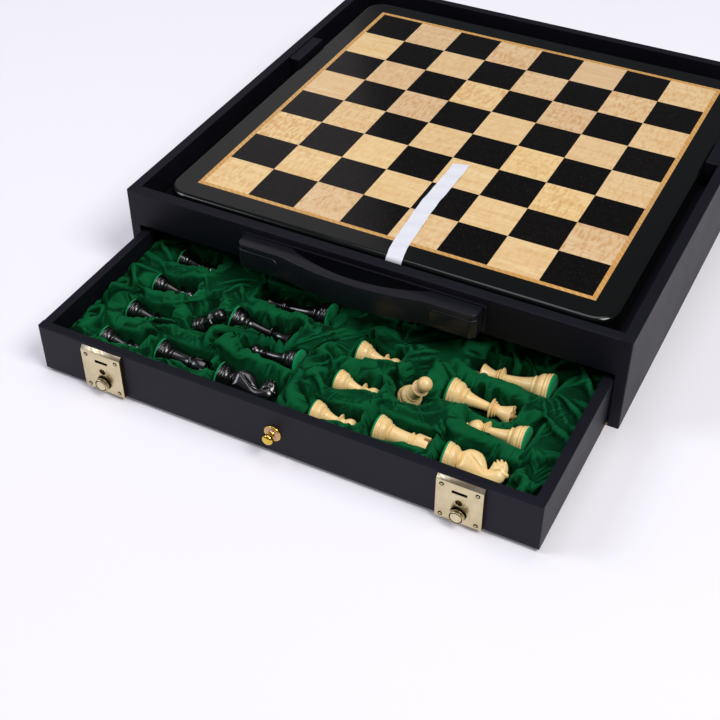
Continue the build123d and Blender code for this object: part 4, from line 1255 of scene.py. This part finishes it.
    def horse(self, height: float, r: float) -> bpy.types.Object:
        """The knight's neck and head: a swelled silhouette with rounded edges and carved grooves."""
        bpy.ops.object.select_all(action="DESELECT")
        bpy.ops.mesh.primitive_circle_add(vertices=len(HORSE), radius=1.0, fill_type="NGON")
        head = bpy.context.object
        head.name = "horse_head"
        rim = [(x * r, z * height) for x, z in HORSE]
        for vertex, (x, z) in zip(head.data.vertices, rim):
            vertex.co = Vector((x, -r * 0.6, z)) * MM
        with shaping(head):
            bpy.ops.mesh.select_all(action="SELECT")
            bpy.ops.mesh.extrude_region_move(TRANSFORM_OT_translate={"value": (0, r * 1.2 * MM, 0)})
        face_outwards(head)
        apply_modifier(head, "REMESH", mode="VOXEL", voxel_size=self.carving_voxel * MM)
        points = np.empty(len(head.data.vertices) * 3)
        head.data.vertices.foreach_get("co", points)
        points = points.reshape(-1, 3) / MM
        flat = points[:, (0, 2)]
        inset = np.clip(self.distances(rim + rim[:1], flat) / self.swelling, 0.0, 1.0)
        points[:, 1] *= 0.25 + 0.75 * np.sqrt(1.0 - (1.0 - inset) ** 2)
        points[:, 1] *= 1.15 - 0.5 * (points[:, 2] / height - 0.235) / 0.765
        for line in GROOVES:
            gap = self.distances([(x * r, z * height) for x, z in line], flat)
            dent = np.minimum(self.groove * np.exp(-(gap / self.groove) ** 2), np.abs(points[:, 1]) * 0.5)
            points[:, 1] -= np.copysign(dent, points[:, 1])
        head.data.vertices.foreach_set("co", (points * MM).ravel())
        apply_modifier(head, "SMOOTH", factor=0.5, iterations=2)
        return head

    def distances(self, line: Sequence[tuple[float, float]], places: np.ndarray) -> np.ndarray:
        """Distances from places in the silhouette's plane to a line of corners, in millimetres."""
        best = np.full(len(places), 1e3)
        for a, b in zip(line, line[1:]):
            start, run = np.array(a), np.array(b) - np.array(a)
            share = np.clip(((places - start) @ run) / (run @ run), 0.0, 1.0)
            best = np.minimum(best, np.linalg.norm(places - start - share[:, None] * run, axis=1))
        return best

    def laid(self, man: Man, x: float, y: float, heading: float, droop: float, roll: float) -> Matrix:
        """Turns an upright man onto its side at its place."""
        return (Matrix.Translation(Vector((x, y, self.foot_height(man, droop))) * MM)
                @ Matrix.Rotation(math.radians(heading), 4, "Z")
                @ Matrix.Rotation(math.radians(90.0 + droop), 4, "Y")
                @ Matrix.Rotation(math.radians(roll), 4, "Z"))

    def build(self) -> None:
        """Models each kind once and lays out all the men and their felts."""
        patterns = {man: self.upright(man) for man in Man}
        felts = {man: self.felt(man) for man in Man}
        counts: dict[str, int] = {}
        for man, colour, x, y, heading, droop in self.places():
            kind = man.value[0]
            counts[colour + kind] = counts.get(colour + kind, 0) + 1
            number = counts[colour + kind]
            single = man in (Man.KING, Man.QUEEN)
            roll = {Man.KNIGHT: self.knight_roll, Man.BISHOP: 0.0}.get(man, 37.0 * number)
            place = self.laid(man, x, y, heading, droop, roll)
            name = f"{colour}_{kind}_{number}"
            piece = copy_of(patterns[man], name, place)
            paint(piece, EBONISED if colour == "dark" else BOXWOOD)
            hand_over(piece, "drawer", [f"{colour}_{kind}" + ("" if single else "s")])
            disc = copy_of(felts[man], f"{name}_felt", place)
            paint(disc, GREEN_FELT)
            hand_over(disc, "drawer", [f"{colour}_base_felts"])
        for pattern in list(patterns.values()) + list(felts.values()):
            bpy.data.objects.remove(pattern, do_unlink=True)

    def felt(self, man: Man) -> bpy.types.Object:
        """The felt disc under a man's foot, its edge slightly rounded."""
        r = man.value[2] / 2 - self.felt_inset
        t, top = self.felt_thickness, self.outline(man)[0][1]
        outline = [(r * 0.5, -t), (r - 0.3, -t), (r, -t * 0.7), (r, top - 0.06), (r * 0.5, top - 0.03)]
        disc = grow_turning(f"{man.value[0]}_felt_pattern", outline, 40)
        smooth(disc, 50.0)
        return disc


# ---- velvet lining ---------------------------------------------------------
Span = tuple[slice, slice]


@dataclass
class LooseSheet:
    """A sheet of velvet as a grid of threads, in millimetres."""

    points: np.ndarray
    free: np.ndarray
    along_x: np.ndarray
    along_y: np.ndarray
    springback: float = 0.4
    flattest_folds: tuple[tuple[int, float], ...] = ((2, 0.93), (4, 0.88))

    def pull(self, first: Span, second: Span, length: np.ndarray, stretch: float, push: float) -> None:
        """Moves both ends of each thread towards its length.

        Args:
            first: the threads' first ends.
            second: the threads' second ends.
            length: how long the threads are.
            stretch: share of a stretch that is taken back.
            push: share of a squeeze that is taken back.
        """
        gap = self.points[second] - self.points[first]
        now = np.sqrt((gap * gap).sum(axis=-1))
        error = now - length
        error *= np.where(error < 0.0, push, stretch)
        ends = self.free[first], self.free[second]
        move = gap * (error / np.maximum(now * np.maximum(ends[0] + ends[1], 1e-9), 1e-9))[..., None]
        self.points[first] += move * ends[0][..., None]
        self.points[second] -= move * ends[1][..., None]

    def keep_order(self, share: float, mesh: float) -> None:
        """Pushes neighbours apart where a fold is about to tip over.

        Args:
            share: the least gap between neighbours seen from above, as a share of the mesh.
            mesh: the mesh width.
        """
        rows, columns = self.free.shape
        for axis, count in ((0, columns), (1, rows)):
            for start in (0, 1):
                a, b = slice(start, count - 1, 2), slice(start + 1, count, 2)
                first, second = ((slice(None), a), (slice(None), b)) if axis == 0 else ((a,), (b,))
                apart = self.points[second][..., axis] - self.points[first][..., axis]
                lack = np.maximum(share * mesh - apart, 0)
                total = np.maximum(self.free[first] + self.free[second], 1e-9)
                self.points[first + (Ellipsis, axis)] -= lack * self.free[first] / total
                self.points[second + (Ellipsis, axis)] += lack * self.free[second] / total

    def relax(self) -> None:
        """One sweep over all the threads, their diagonals and their folds."""
        rows, columns = self.free.shape
        everything = slice(None)
        for start in (0, 1):
            a, b = slice(start, columns - 1, 2), slice(start + 1, columns, 2)
            self.pull((everything, a), (everything, b), self.along_x[:, start::2], 1.0, 1.0)
            a, b = slice(start, rows - 1, 2), slice(start + 1, rows, 2)
            self.pull((a, everything), (b, everything), self.along_y[start::2], 1.0, 1.0)
        diagonal = np.hypot(self.along_x[:-1], self.along_y[:, :-1])
        left, right = slice(0, columns - 1), slice(1, columns)
        for start in (0, 1):
            low, high = slice(start, rows - 1, 2), slice(start + 1, rows, 2)
            self.pull((low, left), (high, right), diagonal[start::2], 0.3, 0.04)
            self.pull((low, right), (high, left), diagonal[start::2], 0.3, 0.04)
        for reach, flattest in self.flattest_folds:
            step = 2 * reach
            span_x = sum(self.along_x[:, k:columns - reach + k] for k in range(reach)) * flattest
            span_y = sum(self.along_y[k:rows - reach + k] for k in range(reach)) * flattest
            for start in range(step):
                a, b = slice(start, columns - reach, step), slice(start + reach, columns, step)
                self.pull((everything, a), (everything, b), span_x[:, start::step], 0.0, self.springback)
                a, b = slice(start, rows - reach, step), slice(start + reach, rows, step)
                self.pull((a, everything), (b, everything), span_y[start::step], 0.0, self.springback)


@dataclass
class Bed:
    """What the velvet lies between: the foam below it and the men's undersides above it."""

    left: float
    front: float
    foam: np.ndarray
    cover: np.ndarray
    mesh: float = 1.0

    def at(self, table: np.ndarray, x: np.ndarray, y: np.ndarray) -> np.ndarray:
        """Reads a height between the points of one of the two tables.

        Args:
            table: the foam or the cover.
            x: places across the drawer.
            y: places along the drawer.

        Returns:
            The heights there.
        """
        column = np.clip((x - self.left) / self.mesh, 0, table.shape[1] - 1.001)
        row = np.clip((y - self.front) / self.mesh, 0, table.shape[0] - 1.001)
        i, j = row.astype(int), column.astype(int)
        u, v = row - i, column - j
        return ((table[i, j] * (1 - v) + table[i, j + 1] * v) * (1 - u)
                + (table[i + 1, j] * (1 - v) + table[i + 1, j + 1] * v) * u)

    def hold(self, points: np.ndarray) -> None:
        """Keeps the velvet above the foam and below the men."""
        x, y = points[..., 0], points[..., 1]
        points[..., 2] = np.minimum(np.maximum(points[..., 2], self.at(self.foam, x, y)),
                                    self.at(self.cover, x, y))


@dataclass
class VelvetLining:
    """The padded lining: velvet laid loosely over foam and pressed into a pocket round each man."""

    men: ChessSet
    half_width: float = 232.6
    y_low: float = -409.0
    y_high: float = -111.3
    floor: float = 6.7
    field_top: float = 39.5
    swell_run: float = 7.0
    left_drop: float = 8.0
    left_run: float = 26.0
    drop_length: float = 260.0
    pocket_floor: float = 15.0
    clearance: float = 0.3
    slack: tuple[float, float] = (0.05, 0.24)  # least, and how much more in the loosest patches
    end_slack: float = 0.24
    end_band: float = 22.0
    side_slack: float = 0.32
    side_band: float = 34.0
    lips: dict[Man, tuple[float, float]] = field(default_factory=lambda: {
        Man.KING: (30.0, 35.5), Man.QUEEN: (29.0, 31.5), Man.BISHOP: (29.0, 36.0), Man.KNIGHT: (22.0, 20.0),
        Man.ROOK: (28.0, 31.0), Man.PAWN: (28.0, 39.0)})
    leaning_lips: tuple[float, float] = (21.0, 28.0)
    low_run: float = 18.0
    lip: float = 3.2
    side_gap: float = 1.6
    valley: float = 2.5
    rim: float = 46.0
    steps: tuple[tuple[float, int, int], ...] = ((6.0, 160, 6), (3.0, 90, 6), (1.5, 40, 6))
    weight: float = 0.02
    drag: float = 0.88
    steepest: float = 0.3

    def waves(self, x: np.ndarray, y: np.ndarray, size: float, seed: float) -> np.ndarray:
        """Smooth random heights from -1 to 1.

        Args:
            x: places across the drawer.
            y: places along the drawer.
            size: about how far apart the crests are.
            seed: picks the pattern.

        Returns:
            One height for each place.
        """
        flat = [noise.noise(Vector((a / size, b / size, seed))) for a, b in zip(x.ravel(), y.ravel())]
        return np.array(flat).reshape(x.shape)

    def pocket_edge(self, x: np.ndarray, y: np.ndarray) -> tuple[np.ndarray, np.ndarray, np.ndarray]:
        """How far the nearest pocket's mouth is, how high it lies and how slowly the velvet rises from it.

        Args:
            x: places across the drawer.
            y: places along the drawer.

        Returns:
            The distance, the mouth's height and the run of the rise, for each place.
        """
        nearest, level = np.full(x.shape, 1e3), np.full(x.shape, self.field_top)
        rise = np.full(x.shape, self.swell_run)
        for man, _, px, py, heading, droop in self.men.places():
            angle, tilt = math.radians(heading), math.radians(droop)
            run = (x - px) * math.cos(angle) + (y - py) * math.sin(angle)
            across = np.abs((y - py) * math.cos(angle) - (x - px) * math.sin(angle))
            foot = man.value[2] / 2
            length = man.value[1] * math.cos(tilt)
            back = foot * abs(math.sin(tilt)) + 1.6
            share = np.clip(run / length, 0.0, 1.0)
            narrow = np.clip(share * 1.8, 0.0, 1.0)
            wide = foot + self.side_gap + (foot * self.men.head_shares[man] - foot + 1.0) * narrow
            beyond = np.maximum(-run - back, run - length - 2.0)
            aside = across - wide
            corner = np.hypot(np.maximum(beyond, 0.0), np.maximum(aside, 0.0))
            gap = np.where((beyond > 0) & (aside > 0), corner, np.maximum(beyond, aside))
            low, high = self.leaning_lips if droop < 0 else self.lips[man]
            towards_head = np.clip(share * 1.6 - 0.3, 0.0, 1.0)
            level = np.where(gap < nearest, low + (high - low) * towards_head, level)
            low_man = droop < 0 or man is Man.KNIGHT
            rise = np.where(gap < nearest, self.low_run if low_man else self.swell_run, rise)
            nearest = np.minimum(nearest, gap)
        return nearest, level, rise

    def undersides(self, columns: int, rows: int) -> np.ndarray:
        """The lowest height of the men over each square millimetre of the drawer."""
        cover = np.full((rows, columns), self.rim)
        for man, _, x, y, heading, droop in self.men.places():
            along = np.arange(-1.2, man.value[1] + 0.8, 0.4)
            radius = self.men.radii(man, along) + 0.5
            turn = np.linspace(math.pi, 2 * math.pi, 72)
            side = radius[:, None] * np.cos(turn)
            rise = radius[:, None] * np.sin(turn)
            tilt, angle = math.radians(-droop), math.radians(heading)
            run = along[:, None] * math.cos(tilt) - rise * math.sin(tilt)
            height = (self.men.foot_height(man, droop) + along[:, None] * math.sin(tilt)
                      + rise * math.cos(tilt))
            over_x = x + run * math.cos(angle) - side * math.sin(angle)
            over_y = y + run * math.sin(angle) + side * math.cos(angle)
            column = np.rint(over_x + self.half_width).astype(int)
            row = np.rint(over_y - self.y_low).astype(int)
            inside = (column >= 0) & (column < columns) & (row >= 0) & (row < rows)
            np.minimum.at(cover, (row[inside], column[inside]), height[inside])
        spread = cover.copy()
        for down, over in ((0, 1), (0, -1), (1, 0), (-1, 0)):
            spread = np.minimum(spread, np.roll(cover, (down, over), axis=(0, 1)))
        return spread

    def bed(self) -> tuple[Bed, np.ndarray]:
        """The foam and the men's undersides, with the shape that the velvet starts from."""
        columns, rows = int(2 * self.half_width) + 1, int(self.y_high - self.y_low) + 1
        x, y = np.meshgrid(np.arange(columns) - self.half_width, np.arange(rows) + self.y_low)
        gap, level, rise = self.pocket_edge(x, y)
        left = np.clip(1.0 - (x + self.half_width) / self.left_run, 0.0, 1.0)
        near = 1.0 - np.clip((y - self.y_low) / self.drop_length, 0.0, 1.0)
        top = (level + (self.field_top - level) * (1.0 - np.exp(-np.maximum(gap, 0.0) / rise))
               - self.left_drop * near * left * left)
        share = np.clip((gap + self.lip) / (self.lip + 1.2), 0.0, 1.0)
        eased = share * share * (3.0 - 2.0 * share)
        cover = self.undersides(columns, rows)
        low = np.minimum(cover - self.clearance, self.pocket_floor)
        start = np.minimum(low + (top - low) * eased, cover - self.clearance)
        start = np.maximum(start, self.floor + 0.8)
        valley = self.valley * np.clip(gap / 5.0, 0.0, 1.0)
        return Bed(-self.half_width, self.y_low, start - valley, np.maximum(cover, self.floor + 1.0)), start

    def looseness(self, x: np.ndarray, y: np.ndarray) -> tuple[np.ndarray, np.ndarray]:
        """How much longer than its bed the velvet is, across and along the drawer."""
        side = np.clip(1.0 - np.minimum(x + self.half_width, self.half_width - x) / self.side_band, 0.0, 1.0)
        end = np.clip(1.0 - np.minimum(y - self.y_low, self.y_high - y) / self.end_band, 0.0, 1.0)
        patch = np.clip(self.waves(x, y, 60.0, 8.3) * 1.1 + 0.5, 0.0, 1.0)
        other = np.clip(self.waves(x, y, 48.0, 2.9) * 1.1 + 0.5, 0.0, 1.0)
        least, more = self.slack
        across = (least + more * patch) * (1.0 - side) * (1 - end) + self.end_slack * end * (1 - side)
        along = (least + more * other) * (1.0 - end) * (1 - side) + self.side_slack * side * (1 - end)
        return across, along

    def crease(self) -> np.ndarray:
        """Lets the velvet settle, first in broad folds and then in ever finer ones.

        Returns:
            The settled points, in millimetres.
        """
        bed, start = self.bed()
        points = None
        levels = self.steps
        for mesh, moves, sweeps in levels:
            columns = round(2 * self.half_width / mesh) + 1
            rows = round((self.y_high - self.y_low) / mesh) + 1
            flat_x = np.linspace(-self.half_width, self.half_width, columns)
            flat_y = np.linspace(self.y_low, self.y_high, rows)
            x, y = np.meshgrid(flat_x, flat_y)
            base = np.stack([x, y, bed.at(start, x, y)], axis=-1)
            across, along = self.looseness(x, y)
            dx, dy = flat_x[1] - flat_x[0], flat_y[1] - flat_y[0]
            laid_x = np.sqrt((np.diff(base, axis=1) ** 2).sum(axis=-1))
            laid_y = np.sqrt((np.diff(base, axis=0) ** 2).sum(axis=-1))
            length_x = np.maximum(laid_x * 1.01, dx * (1.0 + across[:, 1:]))
            length_y = np.maximum(laid_y * 1.01, dy * (1.0 + along[1:]))
            free = np.ones((rows, columns))
            free[0] = free[-1] = 0.0
            free[:, 0] = free[:, -1] = 0.0
            if points is None:
                points = base.copy()
                points[..., 2] += 2.2 * (self.waves(x, y, 17.0, 1.7) + 0.6) * free
            else:
                points = self.refine(points, rows, columns)
                points[..., 2] += 0.10 * mesh * self.waves(x, y, mesh * 3.1, 4.4) * free
            sheet = LooseSheet(points, free, length_x, length_y)
            before = sheet.points.copy()
            for _ in range(moves):
                drift = (sheet.points - before) * self.drag
                before = sheet.points.copy()
                sheet.points += drift * free[..., None]
                sheet.points[..., 2] -= self.weight * mesh * free
                for _ in range(sweeps):
                    sheet.relax()
                    sheet.keep_order(self.steepest, mesh)
                bed.hold(sheet.points)
            points = sheet.points
        return points

    def refine(self, points: np.ndarray, rows: int, columns: int) -> np.ndarray:
        """Reads a coarse sheet at the places of a finer one, with smooth curves between its threads."""
        old_rows, old_columns = points.shape[:2]

        def finer(table: np.ndarray, old: int, new: int) -> np.ndarray:
            place = np.linspace(0.0, old - 1.0, new)
            i = np.clip(place.astype(int), 0, old - 2)
            t = (place - i)[:, None, None]
            p0, p1, p2, p3 = (table[np.clip(i + k, 0, old - 1)] for k in (-1, 0, 1, 2))
            return 0.5 * (2 * p1 + (p2 - p0) * t + (2 * p0 - 5 * p1 + 4 * p2 - p3) * t ** 2
                          + (3 * p1 - p0 - 3 * p2 + p3) * t ** 3)

        taller = finer(points, old_rows, rows)
        return finer(taller.transpose(1, 0, 2), old_columns, columns).transpose(1, 0, 2).copy()

    def bend(self, points: np.ndarray) -> np.ndarray:
        """How sharply the velvet folds at each point: 1 on a sharp crest, -1 deep in a crease.

        Args:
            points: the settled points.

        Returns:
            One value for each point.
        """
        total = np.zeros(points.shape[:2])
        normal = np.cross(np.gradient(points, axis=1), np.gradient(points, axis=0))
        normal /= np.maximum(np.linalg.norm(normal, axis=-1, keepdims=True), 1e-9)
        for reach, weight in ((1, 0.5), (2, 0.8), (4, 0.5)):
            around = sum(np.roll(np.pad(points, ((reach, reach), (reach, reach), (0, 0)), mode="edge"),
                                 (down, over), axis=(0, 1))[reach:-reach, reach:-reach]
                         for down, over in ((reach, 0), (-reach, 0), (0, reach), (0, -reach))) / 4
            total += weight * ((points - around) * normal).sum(axis=-1) / reach
        return np.clip(total * 1.2, -1.0, 1.0)

    def build(self) -> None:
        """Lays, creases and closes the velvet, then hands it over."""
        points = self.crease()
        points[..., 0] = np.clip(points[..., 0], -self.half_width, self.half_width)
        points[..., 1] = np.clip(points[..., 1], self.y_low, self.y_high)
        points[..., 2] = np.clip(points[..., 2], self.floor + 0.6, self.rim)
        rows, columns = points.shape[:2]
        number = np.arange(rows * columns).reshape(rows, columns)
        corners = np.stack([number[:-1, :-1], number[:-1, 1:], number[1:, 1:], number[1:, :-1]], axis=-1)
        mesh = bpy.data.meshes.new("velvet_lining_cloth")
        mesh.from_pydata((points * MM).reshape(-1, 3).tolist(), [], corners.reshape(-1, 4).tolist())
        # The bend sets where the velvet's painted crest highlight and crease shade go.
        folds = mesh.attributes.new("fold_bend", "FLOAT", "POINT")
        folds.data.foreach_set("value", self.bend(points).ravel())
        lining = bpy.data.objects.new("velvet_lining_cloth", mesh)
        bpy.context.scene.collection.objects.link(lining)
        self.close(lining)
        smooth(lining, 75.0)
        paint(lining, PileVelvet("green_pile_velvet"))
        hand_over(lining, "drawer", ["velvet_lining"])

    def close(self, lining: bpy.types.Object) -> None:
        """Adds the sides and the underside, so that the lining is one padded body."""
        body = bmesh.new()
        body.from_mesh(lining.data)
        rim = [edge for edge in body.edges if edge.is_boundary]
        skirt = bmesh.ops.extrude_edge_only(body, edges=rim)["geom"]
        for vert in (item for item in skirt if isinstance(item, bmesh.types.BMVert)):
            vert.co.z = self.floor * MM
        low_edges = [edge for edge in skirt if isinstance(edge, bmesh.types.BMEdge)]
        bmesh.ops.contextual_create(body, geom=low_edges)
        bmesh.ops.recalc_face_normals(body, faces=body.faces)
        body.to_mesh(lining.data)
        body.free()


# ---- the whole -------------------------------------------------------------
def main() -> None:
    """Builds every sub-assembly in order."""
    logging.basicConfig(level=logging.INFO, format="%(name)s: %(message)s")
    Studio().build()
    CaseAndDrawerPanels().dress()
    CarryHandle().build()
    LiftingRibbon().build()
    for side, centre in (("left", -173.4), ("right", 173.4)):
        PushLock(side, centre).build()
    DrawerKnob().build()
    men = ChessSet()
    men.build()
    VelvetLining(men).build()


if __name__ == "__main__":
    main()
